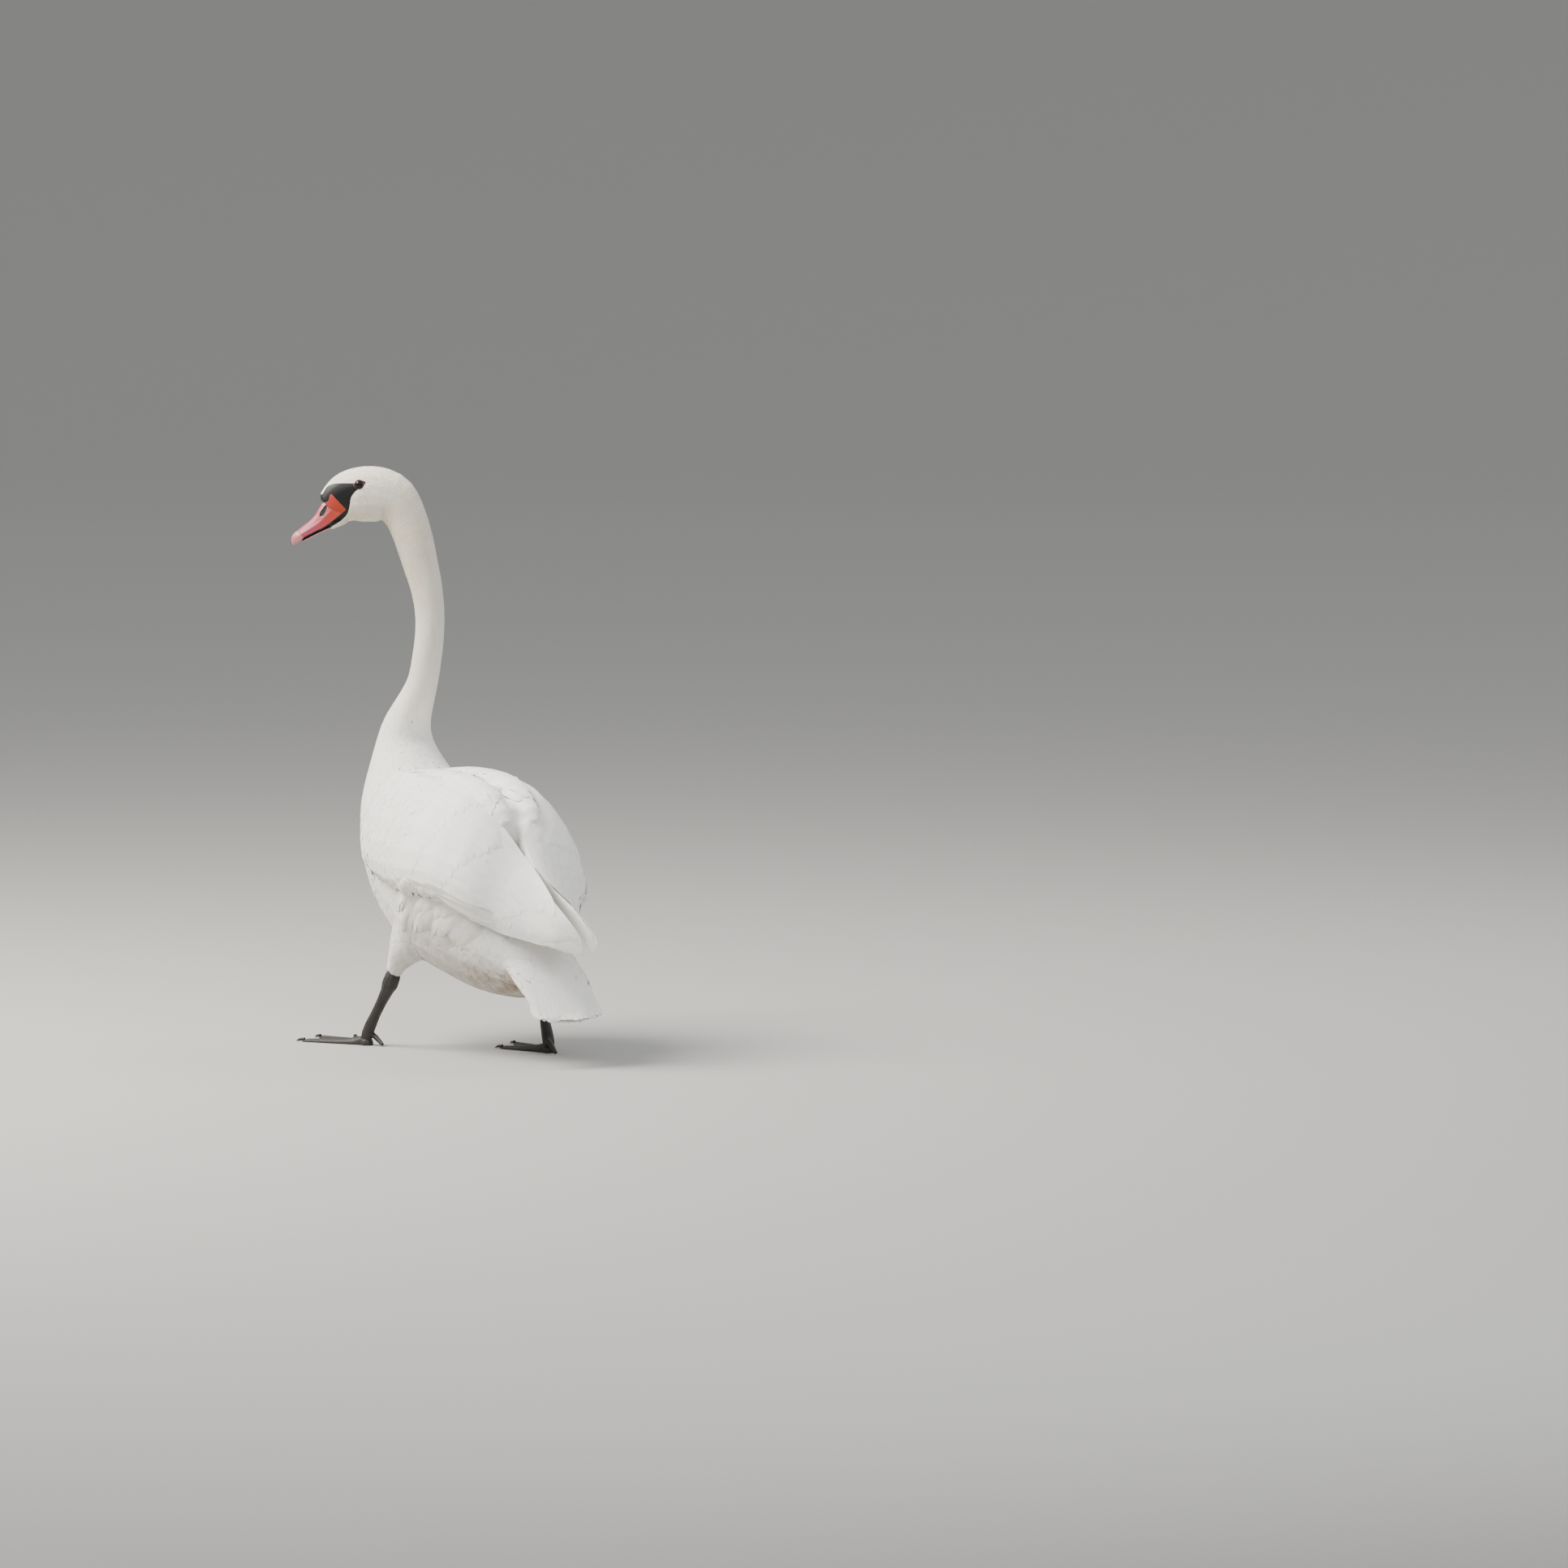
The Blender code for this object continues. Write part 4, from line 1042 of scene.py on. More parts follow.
def lay_quill(
    sheaf, ground, width, length, rise, roll, cup, thickness, blunt, wave=0.0, columns=QUILL_COLUMNS
):
    """
    Adds one closed feather. ground gives, for a share of its length and a distance to its side, the
    place on the skin and the way out. rise gives its height over the skin for the same two; roll
    lifts one side and lowers the other, so that neighbours lie like tiles, and cup bows its edges
    down.
    """
    top, under = [], []
    sides = np.linspace(-1, 1, columns)
    halves = [width / 2 * quill_half(y, QUILL_BASE, blunt) for y in QUILL_ROWS]
    for y, half in zip(QUILL_ROWS, halves):
        line_top, line_under = [], []
        for x in sides:
            place, out = ground(y, x * half)
            ripple = wave * math.sin(9 * x + 14 * y) * (abs(x) ** 2) * y
            shaft = SHAFT_HEIGHT * max(0.0, 1 - abs(x) * 6) * (1 - y)
            height = rise(y, x * half) + roll * x * min(y * 3, 1) - cup * x * x + shaft + ripple
            deep = thickness * (1 - x * x) * (1 - 0.6 * y) + RIM_THICKNESS
            line_top.append(place + out * height)
            line_under.append(place + out * (height - deep))
        top.append(line_top)
        under.append(line_under)
    place, out = ground(1.0, 0.0)
    tip = place + out * (rise(1.0, 0.0) - cup * 0.3)
    root_marks, root_map = skin_at(top[0][columns // 2])
    first = len(sheaf["points"])
    rows = len(QUILL_ROWS)
    for layer in (top, under):
        for y, half, line in zip(QUILL_ROWS, halves, layer):
            sheaf["points"] += line
            for x in sides:
                spot = (root_map[0] + PATCH * 0.5 * x, root_map[1] + PATCH * (y - 0.5))
                sheaf["barbs"].append((x * half, y * length))
                sheaf["patch"].append(spot)
    count = 2 * rows * columns + 1
    sheaf["marks"] += [root_marks] * count
    sheaf["points"].append(tip)
    sheaf["barbs"].append((0.0, length))
    sheaf["patch"].append((root_map[0], root_map[1] + PATCH * 0.5))

    def at(layer, row, column):
        return first + (layer * rows + row) * columns + column

    last = first + count - 1
    faces = sheaf["faces"]
    for row in range(rows - 1):
        for k in range(columns - 1):
            faces.append((at(0, row, k), at(0, row, k + 1), at(0, row + 1, k + 1), at(0, row + 1, k)))
            faces.append((at(1, row, k), at(1, row + 1, k), at(1, row + 1, k + 1), at(1, row, k + 1)))
        for k, (a, b) in ((0, (0, 1)), (columns - 1, (1, 0))):
            faces.append((at(a, row, k), at(a, row + 1, k), at(b, row + 1, k), at(b, row, k)))
    for k in range(columns - 1):
        faces.append((at(0, rows - 1, k), at(0, rows - 1, k + 1), last))
        faces.append((at(1, rows - 1, k + 1), at(1, rows - 1, k), last))
        faces.append((at(1, 0, k), at(1, 0, k + 1), at(0, 0, k + 1), at(0, 0, k)))
    faces.append((at(1, rows - 1, 0), at(0, rows - 1, 0), last))
    faces.append((at(0, rows - 1, columns - 1), at(1, rows - 1, columns - 1), last))


def sheaf_object(name, sheaf):
    """The quills of a sheaf as one mesh, with the marks and the maps that the coat has."""
    data = bpy.data.meshes.new(name)
    data.from_pydata([tuple(p) for p in sheaf["points"]], [], sheaf["faces"])
    net = bmesh.new()
    net.from_mesh(data)
    bmesh.ops.recalc_face_normals(net, faces=net.faces)
    net.to_mesh(data)
    net.free()
    data.shade_smooth()
    data.set_sharp_from_angle(angle=math.radians(40))
    give(data, "marks", sheaf["marks"])
    corners = numbers(data.loops, "vertex_index", np.int32, 1)[:, 0]
    for title, key in (("Barbs", "barbs"), ("OFBake", "patch")):
        layer = data.uv_layers.new(name=title)
        layer.uv.foreach_set("vector", np.array(sheaf[key], np.float32)[corners].ravel())
    made = new_object(name, data, feather)
    print(name, "has", triangles_of(made), "triangles")
    return made


# %% [markdown]
# ### Coordinates of the wings
# A place on a wing is told by u, from shoulder to wing tip, and by the angle round the bird's
# long axis. Rays run in towards that axis, which for the wing tips moves to the far side, so that
# they still meet the blades squarely. v then says how high a place is on the wing, from 0 at its
# lower edge to 1 at its upper one.
# %% Wing coordinates
AXIS_BELOW_WING = 0.104  # how far the axis starts below the wing's top
AXIS_OVER_TIPS = 0.033  # and how far above the lowest point of the wing tips it ends
AXIS_SHIFT = 0.09  # how far it moves to the far side there
SHIFT_START = 0.55
FAR_OUT = 0.4  # where the rays come from, in metres
FACING = 0.15  # a face that looks away more than this from the ray belongs to something else

wing_low, wing_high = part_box("wing_left")
tips_low, tips_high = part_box("flight_feathers_left")
AXIS_START = Vector((spine_x, wing_low.y, wing_high.z - AXIS_BELOW_WING))
AXIS_END = Vector((spine_x, tips_high.y, tips_low.z + AXIS_OVER_TIPS))
AXIS_STEP = AXIS_END - AXIS_START
axis_up = Vector((1, 0, 0)).cross(AXIS_STEP.normalized())


def own_tree(*names):
    """A search tree over the skin of some nodes only, so that no ray meets their neighbours."""
    wanted = {FLESH.index(n) for n in names}
    faces = [tuple(f.vertices) for f in skin.data.polygons if skin_owner[f.vertices[0]] in wanted]
    return BVHTree.FromPolygons([v.co.copy() for v in skin.data.vertices], faces)


wing_trees = {
    1: own_tree("wing_left", "flight_feathers_left"),
    -1: own_tree("wing_right", "flight_feathers_right"),
}


def wing_hit(tree, side, u, angle, inner=False):
    """Where a ray in towards the axis meets a wing, or a ray out, if the inner face is wanted."""
    bend = min(max((u - SHIFT_START) / (1 - SHIFT_START), 0.0), 1.0)
    centre = AXIS_START + AXIS_STEP * u - Vector((side * AXIS_SHIFT * bend, 0, 0))
    out = Vector((side * math.cos(angle), 0, 0)) + axis_up * math.sin(angle)
    start, way = (centre, out) if inner else (centre + out * FAR_OUT, -out)
    place, normal = tree.ray_cast(start, way, FAR_OUT)[:2]
    if place is None or -normal.dot(way) < FACING:
        return None, None
    return place, normal


MID_ANGLE = -5  # degrees, where every section of the wing has a face
EDGE_JUMP = 12 * MM
WING_STATIONS = np.linspace(0.04, 0.995, 33)


def wing_edges(side):
    """At stations along a wing: the angles of its lower and upper edge, and its breadth."""
    rows = []
    tree = wing_trees[side]
    for u in WING_STATIONS:
        ends, breadth = [], 0.0
        for step in (-1, 1):
            degree, last = MID_ANGLE, wing_hit(tree, side, u, math.radians(MID_ANGLE))[0]
            while last is not None:
                place = wing_hit(tree, side, u, math.radians(degree + step))[0]
                if place is None or (place - last).length > EDGE_JUMP:
                    break
                breadth += (place - last).length
                degree, last = degree + step, place
            ends.append(math.radians(degree))
        rows.append((u, *ends, breadth))
    rows = np.array(rows)
    for column in (1, 2, 3):
        padded = np.pad(rows[:, column], 2, mode="edge")
        rows[:, column] = np.convolve(padded, np.ones(5) / 5, "valid")
    return rows


edges_by_side = {side: wing_edges(side) for side in (1, -1)}


def wing_row(side, u):
    rows = edges_by_side[side]
    return [np.interp(u, rows[:, 0], rows[:, column]) for column in (1, 2, 3)]


for side, name in ((1, "left"), (-1, "right")):
    print(name, "wing is broad, in mm:", (edges_by_side[side][::4, 3] / MM).round().tolist())

# %% [markdown]
# ### The line and the ground of a quill
# A quill keeps its own smooth line, whatever the skin below it does: the places that the rays
# find are fitted with a cubic curve. Across it the quill follows the skin outwards from its
# shaft, and where the skin ends or drops away it goes straight on, as a stiff vane does.
# %% Quill ground
STATIONS = 24
ENOUGH = 0.85  # a quill is laid only where this share of its stations finds the skin
EDGE_SHARE = 0.36  # of a quill's width, kept between its shaft and the wing's edge
REACH = 14 * MM  # how far above and below its line a quill looks for the skin
STEP_ACROSS = 0.4 * MM  # how much a vane may bend from one of its side steps to the next
SIDE_STEPS = 6


def wing_ground(tree, side, root, tip, width, sag=0.0, free=False, inner=False):
    """
    The ground of a quill that runs from one (u, v) to another, v being 0 at the wing's lower edge
    and 1 at its upper one. sag bends it downwards along the way. A free one may lie outside the
    wing. Returns the ground and its length.
    """
    shares, places, outs = [], [], []
    for y in np.linspace(0, 1, STATIONS):
        u = root[0] + (tip[0] - root[0]) * y
        v = root[1] + (tip[1] - root[1]) * y - sag * math.sin(math.pi * y)
        low, high, breadth = wing_row(side, u)
        inset = min(0.5, EDGE_SHARE * width / max(breadth, width * EDGE_SHARE * 2))
        if not free:
            v = min(max(v, inset), 1 - inset)
        place, normal = wing_hit(tree, side, u, low + (high - low) * v, inner)
        if place is not None:
            shares.append(y)
            places.append(place)
            outs.append(normal)
    if len(shares) < ENOUGH * STATIONS:
        return None, 0.0
    line = np.polyfit(shares, np.array(places), 3)
    facing = np.polyfit(shares, np.array(outs), 2)
    slope = line[:3] * np.array([[3], [2], [1]])
    profiles = {}

    def frame_at(y):
        """A quill's middle there, the ways out and across, and the heights of the skin."""
        centre = Vector(np.array([y**3, y**2, y, 1]) @ line)
        out = Vector(np.array([y**2, y, 1]) @ facing).normalized()
        along = Vector(np.array([y**2, y, 1]) @ slope).normalized()
        across = out.cross(along).normalized() * side * (-1 if inner else 1)
        heights = [0.0] * (2 * SIDE_STEPS + 1)
        for step in (1, -1):
            before, here = 0.0, 0.0
            for k in range(SIDE_STEPS + 1):
                spot = centre + across * (step * k * width / 2 / SIDE_STEPS)
                found = tree.ray_cast(spot + out * REACH, -out, 2 * REACH)[3]
                ahead = 2 * here - before if k > 1 else here
                measured = ahead if found is None else REACH - found
                if abs(measured - ahead) > (STEP_ACROSS if k else REACH / 2):
                    measured = ahead
                before, here = here, measured
                heights[SIDE_STEPS + step * k] = here
        return centre, out, across, heights

    offsets = np.linspace(-width / 2, width / 2, 2 * SIDE_STEPS + 1)

    def ground(y, x):
        if y not in profiles:
            profiles[y] = frame_at(y)
        centre, out, across, heights = profiles[y]
        return centre + across * x + out * np.interp(x, offsets, heights), out

    length = sum((Vector(b) - Vector(a)).length for a, b in zip(places[:-1], places[1:]))
    return ground, length


def spread(start, end, count):
    return [start + (end - start) * k / (count - 1) for k in range(count)]


# %% [markdown]
# ### Rows of the wing
# From the tip forward a folded wing shows its primaries, then the secondaries and tertials that
# close over them, then the greater coverts, and in front of those the small coverts that the coat
# already has. Each row is a count of feathers from the lower edge of the wing to its upper one,
# and each feather's upper neighbour lies over it.
# %% Quills
rng = np.random.default_rng(20)
WING_ROWS = (
    # count, root u and v, tip u and v (each from lower edge to upper edge),
    # width, height and thickness in mm, blunt: primaries, secondaries, greater and median coverts
    (8, ((0.64, 0.08), (0.70, 0.88)), ((0.93, 0.05), (0.998, 0.80)), 30, 0.3, 0.8, 0.70),
    (12, ((0.50, 0.04), (0.50, 0.92)), ((0.74, 0.02), (0.90, 0.93)), 34, 0.6, 0.7, 0.80),
    (14, ((0.40, 0.03), (0.40, 0.97)), ((0.585, 0.02), (0.66, 0.99)), 30, 0.9, 0.6, 0.78),
    (16, ((0.32, 0.03), (0.32, 0.97)), ((0.455, 0.03), (0.50, 0.97)), 25, 1.1, 0.45, 0.74),
)
WING_SAG = 0.02
WING_ROLL, WING_CUP, WING_WAVE = 0.55 * MM, 0.45 * MM, 0.12 * MM
INNER_COUNT = 7  # feathers on the inner face of each wing tip
INNER_WIDTH = 24 * MM
INNER_FORM = (0.4 * MM, 0.3 * MM, 0.4 * MM, 0.7)  # roll, cup, thickness and blunt


def wing_quills(name, side):
    sheaf = new_sheaf()
    tree = wing_trees[side]
    for count, roots, tips, width, height, thickness, blunt in WING_ROWS:
        (root_us, root_vs), (tip_us, tip_vs) = [
            [spread(start, end, count) for start, end in zip(*ends)] for ends in (roots, tips)
        ]
        for k in range(count):
            stir = rng.uniform(-1, 1, 3)
            root = (root_us[k], root_vs[k])
            tip = (tip_us[k] + 0.006 * stir[0], tip_vs[k] + 0.012 * stir[1])
            ground, length = wing_ground(tree, side, root, tip, width * MM, WING_SAG)
            rise = quill_rise(1.2, height + 0.25 * stir[2], 0.35, 0.5)
            form = (WING_ROLL, WING_CUP, thickness * MM, blunt, WING_WAVE)
            lay_quill(sheaf, ground, width * MM, length, rise, *form)
    for k in range(INNER_COUNT):
        v = 0.12 + 0.8 * k / (INNER_COUNT - 1)
        tip = (0.985 - 0.12 * v, 0.1 + 0.7 * v)
        ground, length = wing_ground(tree, side, (0.70, v), tip, INNER_WIDTH, inner=True)
        if ground:
            rise = quill_rise(0.9, 0.4, 1.0)
            lay_quill(sheaf, ground, INNER_WIDTH, length, rise, *INNER_FORM)
    return sheaf_object(name, sheaf)


quills = [wing_quills("quills_left", 1), wing_quills("quills_right", -1)]

# %% [markdown]
# ### Shoulder feathers
# The scapulars are long, loose and a little raised. Their rear ends make the rounded step between
# back and wing.
# %% Scapular rows
SHOULDER_ROWS = (
    # count, root u and angle, tip u and angle (each from lowest to highest), width and height in mm
    (9, ((0.18, 62.0), (0.16, 93.0)), ((0.43, 60.0), (0.41, 91.0)), 27, 0.8),
    (8, ((0.33, 61.0), (0.31, 89.0)), ((0.572, 60.0), (0.515, 83.0)), 29, 0.9),
)
SHOULDER_FORM = (0.35 * MM, 0.7 * MM, 0.5 * MM, 0.6, 0.1 * MM)  # roll, cup, thickness, blunt, wave
BACK = ("scapulars_left", "scapulars_right", "trunk")
back_trees = {
    1: own_tree("wing_left", "flight_feathers_left", *BACK),
    -1: own_tree("wing_right", "flight_feathers_right", *BACK),
}


def shoulder_quills(name, side):
    sheaf = new_sheaf()
    for count, roots, tips, width, height in SHOULDER_ROWS:
        for k in range(count):
            share = k / (count - 1)
            stir = rng.uniform(-1, 1, 3)
            ends = []
            for (low_u, low_angle), (high_u, high_angle) in (roots, tips):
                u = low_u + (high_u - low_u) * share
                angle = math.radians(low_angle + (high_angle - low_angle) * share)
                low, high, _ = wing_row(side, u)
                ends.append((u, (angle - low) / (high - low)))
            tip = (ends[1][0] + 0.008 * stir[0], ends[1][1] + 0.01 * stir[1])
            ground, length = wing_ground(back_trees[side], side, ends[0], tip, width * MM, free=True)
            if ground:
                rise = quill_rise(2.4, height + 0.3 * stir[2], 0.4, 0.2)
                lay_quill(sheaf, ground, width * MM, length, rise, *SHOULDER_FORM)
    return sheaf_object(name, sheaf)


quills += [shoulder_quills("scapular_quills_left", 1), shoulder_quills("scapular_quills_right", -1)]

# %% [markdown]
# ### Flank feathers
# Along the lower edge of the folded wing the bird carries a loose roll of soft flank feathers,
# which keep the wing dry. They are narrow, soft quills in rows that bulge out, in lobes, and
# close over the edge of the wing.
# %% Flank roll
FLANK_COUNT = 66
# root v, tip v, bulge in mm, height of the tips in mm
FLANK_ROWS = ((-0.52, -0.20, 3.0, 0.8), (-0.38, -0.06, 8.5, 1.2), (-0.24, 0.14, 12.5, -1.0))
FLANK_WIDTH = 17 * MM
FLANK_FORM = (0.0, 0.5 * MM, 0.4 * MM, 0.4, 0.1 * MM, 5)  # the last is the number of columns
FLANK_START = 0.27  # where the roll starts along the wing
FLANK_REACH = 0.41  # how far it goes
FLANK_LENGTH = 0.075  # how far along the wing one feather reaches
LOBES = 4.6


def lobe_height(share, side):
    """How full the flank roll is along its length: big round lobes in front that die away behind."""
    wave = math.sin(math.tau * LOBES * share + 1.5 * side)
    wave += 0.35 * math.sin(math.tau * 2.3 * LOBES * share)
    full = 0.70 + 0.30 * wave * (1 - 0.55 * share)
    return full * min(1.0, 7 * max(share, 0.0)) * min(1.0, 2.5 * max(1 - share, 0.0))


def flank_quills(name, side):
    sheaf = new_sheaf()
    parts = ("_left", "_right")[side < 0]
    tree = own_tree("trunk", "wing" + parts, "flight_feathers" + parts, "thigh" + parts)
    for low, high, bulge, tip_height in FLANK_ROWS:
        for k in range(FLANK_COUNT):
            share = (k + 0.5 + 0.4 * rng.uniform(-1, 1)) / FLANK_COUNT
            stir = rng.uniform(-1, 1, 4)
            start = FLANK_START + FLANK_REACH * share
            fade = min(1.0, 6 * share, 3 * (1 - share))
            root = (start, low + 0.03 * stir[0])
            tip = (start + FLANK_LENGTH + 0.012 * stir[1], high + 0.03 * stir[2])
            ground, length = wing_ground(tree, side, root, tip, FLANK_WIDTH, free=True)
            if not ground:
                continue

            def rise(y, x, share=share, full=bulge * (1 + 0.04 * stir[3]), last=tip_height * fade):
                lobe = full * lobe_height(share - x / (FLANK_REACH * AXIS_STEP.length), side)
                return (-0.8 + (0.8 + last) * y + lobe * math.sin(math.pi * y**0.9)) * MM

            lay_quill(sheaf, ground, FLANK_WIDTH, length, rise, *FLANK_FORM)
    return sheaf_object(name, sheaf)


quills += [flank_quills("flank_quills_left", 1), flank_quills("flank_quills_right", -1)]

# %% [markdown]
# ### Tail
# A mute swan's tail is a blunt wedge of about two dozen feathers, the middle pair uppermost. They
# are laid twice, on the fan's upper face and on its under face, because it is seen from both.
# %% Tail feathers
TAIL_FEATHERS = 13
TAIL_LIFT = 4 * MM  # how far a feather beyond the fan lies over its plane
TAIL_WIDTH = 24 * MM
TAIL_FORM = (0.0, 0.5 * MM, 0.8 * MM, 0.78, 0.12 * MM)  # roll, cup, thickness, blunt, wave
TAIL_BARBS = 0.13  # how long the map of barbs takes a tail feather to be
TAIL_FAN = (0.036, 0.054)  # half the width of the fan between the outer shafts, at root and tips
tail_root = Vector(((tail_low.x + tail_high.x) / 2, tail_low.y + 0.002, tail_high.z - 0.008))
tail_end = Vector((tail_root.x - 0.004, tail_high.y, tail_low.z))
tail_along = (tail_end - tail_root).normalized()
tail_across = Vector((1, 0, 0))
tail_up = tail_across.cross(tail_along)


def tail_ground(face, root_x, tip_x, reach):
    """The ground of a tail feather. face is 1 on the upper side of the fan and -1 below it."""
    out = tail_up * face
    length = (tail_end - tail_root).length

    def ground(y, x):
        across = root_x + (tip_x - root_x) * y + x
        along = length * (0.02 + (reach - 0.02) * y)
        spot = tail_root + tail_along * along + tail_across * across
        place = skin_tree.ray_cast(spot + out * 0.05, -out, 0.075)[0]
        if place is None:
            droop = 0.15 * across * across / 0.07
            place = spot - UP * droop + out * 0.002 + tail_up * TAIL_LIFT
        return place, out

    return ground


tail_quills = new_sheaf()
for face in (1, -1):
    for k in sorted(range(TAIL_FEATHERS), key=lambda k: -abs(k - (TAIL_FEATHERS - 1) / 2)):
        share = 2 * k / (TAIL_FEATHERS - 1) - 1
        reach = 1.0 - 0.13 * share * share + 0.01 * rng.uniform(-1, 1)
        ground = tail_ground(face, share * TAIL_FAN[0], share * TAIL_FAN[1], reach)
        rise = quill_rise(1.0, 0.5 + 1.2 * (1 - abs(share)), 0.3)
        lay_quill(tail_quills, ground, TAIL_WIDTH, TAIL_BARBS, rise, *TAIL_FORM)
quills.append(sheaf_object("tail_quills", tail_quills))

# %% [markdown]
# ## Bill
# The upper bill is one plate of horn with a nail at its tip, and the knob is a swelling of skin
# over its base. They are wrapped together in a fine net, so that knob and bill flow into each
# other, and the nail keeps a shallow groove round it. The nostrils are slots that open right
# through the bill, so a slot is pressed in on each side and an oval rod is cut through both.
# %% Upper bill and knob
BILL_VOXEL = 0.65 * MM
SLOT_DEPTH = 1.7 * MM
NAIL_GROOVE = 0.35 * MM
COMB_DEPTH, COMB_PITCH = 0.25 * MM, 2.4 * MM  # the fine ribs along the cutting edge

bill = wrapped("bill", ("bill_upper", "bill_nail", "knob"), BILL_VOXEL)
bill_edges = edges_of(bill.data)
nail_tree = node_tree(("bill_nail",))[0]
rest_tree = node_tree(("bill_upper", "knob"))[0]
bill_points = points_of(bill.data)
nail = [float(nail_tree.find_nearest(p)[3] < rest_tree.find_nearest(p)[3]) for p in bill_points]
nail = smoothed(np.array(nail), bill_edges, (0.5,) * 8)
bill_points = smoothed(bill_points, bill_edges, taubin(26))
move_points(bill.data, bill_points)
bill_out = normals_of(bill.data)
groove = 4 * nail * (1 - nail)
view = head_view(bill_points)
slot = ramp(-outline_distance(view, NOSTRIL), -0.4 * MM, 1.6 * MM)
slot = slot * ramp(np.abs(view[:, 1]), 1 * MM, 3 * MM)
edge_band = ramp(outline_distance(view, ORANGE), 0.2 * MM, 1.0 * MM)
edge_band = edge_band * ramp(-view[:, 2], 0.045, 0.055)
comb = 0.5 + 0.5 * np.sin(view[:, 0] * math.tau / COMB_PITCH)
bill_points -= bill_out * (NAIL_GROOVE * groove + COMB_DEPTH * edge_band * comb)[:, None]
bill_points -= np.array(head_left) * (np.sign(view[:, 1]) * slot * SLOT_DEPTH)[:, None]
move_points(bill.data, bill_points)
give(bill.data, "nail", ramp(nail, 0.35, 0.65) * 0.75)
from_nail = np.hypot(view[:, 0] - view[:, 0].max() + 7 * MM, view[:, 1])
give(bill.data, "nail_dark", ramp(-from_nail, -5 * MM, -1 * MM) * ramp(-bill_out[:, 2], 0.0, 0.6))

# The nostril's rod, an oval that slants down and forward.
ROD_LONG, ROD_NARROW, ROD_THROUGH = 2.4 * MM, 1.5 * MM, 80 * MM
rod = bmesh.new()
bmesh.ops.create_cone(rod, cap_ends=True, segments=24, radius1=1.0, radius2=1.0, depth=1.0)
slant = (head_ahead * 0.55 - UP * 0.83).normalized()
narrow = head_left.cross(slant)
hole = from_head(NOSTRIL_HOLE[0] * MM, 0, NOSTRIL_HOLE[1] * MM)
for v in rod.verts:
    x, y, z = v.co
    v.co = hole + slant * x * ROD_LONG + narrow * y * ROD_NARROW + head_left * z * ROD_THROUGH
bmesh.ops.recalc_face_normals(rod, faces=rod.faces)
rod_piece = new_object("nostril_rod", mesh_from(rod, "nostril_rod"))
cut = bill.modifiers.new("nostrils", "BOOLEAN")
cut.operation = "DIFFERENCE"
cut.solver = "EXACT"
cut.object = rod_piece
apply_modifiers(bill)
bpy.data.objects.remove(rod_piece)
draw_face(bill.data)
bill.data.materials.clear()
bill.data.materials.append(horn)
bill.data.shade_smooth()
print("bill of", len(bill.data.polygons), "faces")

# %% [markdown]
# ### Lower bill
# Little of the lower bill shows: a dark edge under the upper one, and a paler underside.
# %% Lower bill
bill_under = wrapped("bill_under", ("bill_lower",), BILL_VOXEL)
under_edges = edges_of(bill_under.data)
move_points(bill_under.data, smoothed(points_of(bill_under.data), under_edges, taubin(20)))
give(bill_under.data, "under", -normals_of(bill_under.data)[:, 2])
bill_under.data.materials.append(mandible)
print("lower bill of", len(bill_under.data.polygons), "faces")

# %% [markdown]
# ## Eyes
# The eye is a ball set into the head. Only a disc of it shows, framed by thin lids that draw out
# to a point behind and to a small one in front. The ball is a fine sphere with a slightly raised
# cornea, coloured by the angle from the middle of its gaze. Each lid ring is a band from the ball
# to the face, thick enough to cast its own small shadow.
# %% Eyeballs and lids
CORNEA_RISE = 0.3 * MM
LID_STEPS = 72
LID_INNER = 6.1 * MM
LID_OUTER = 7.9 * MM
REAR_CORNER = (math.atan2(3.7, -10.5), 4.0 * MM, 0.30)  # direction, reach past the ring, and spread
FRONT_CORNER = (math.atan2(-2.5, 9.0), 1.6 * MM, 0.35)
CORNEA_ANGLE = 0.6  # how far the cornea reaches from the middle of the gaze, in right angles
# A lid's section: the share of the way from its inner rim to its outer one, and the height in mm.
LID_PROFILE = (
    (0.0, -0.9), (0.0, 0.2), (0.15, 0.8), (0.4, 1.0), (0.75, 0.8), (1.0, -0.3), (0.7, -1.0),
    (0.3, -1.2),
)


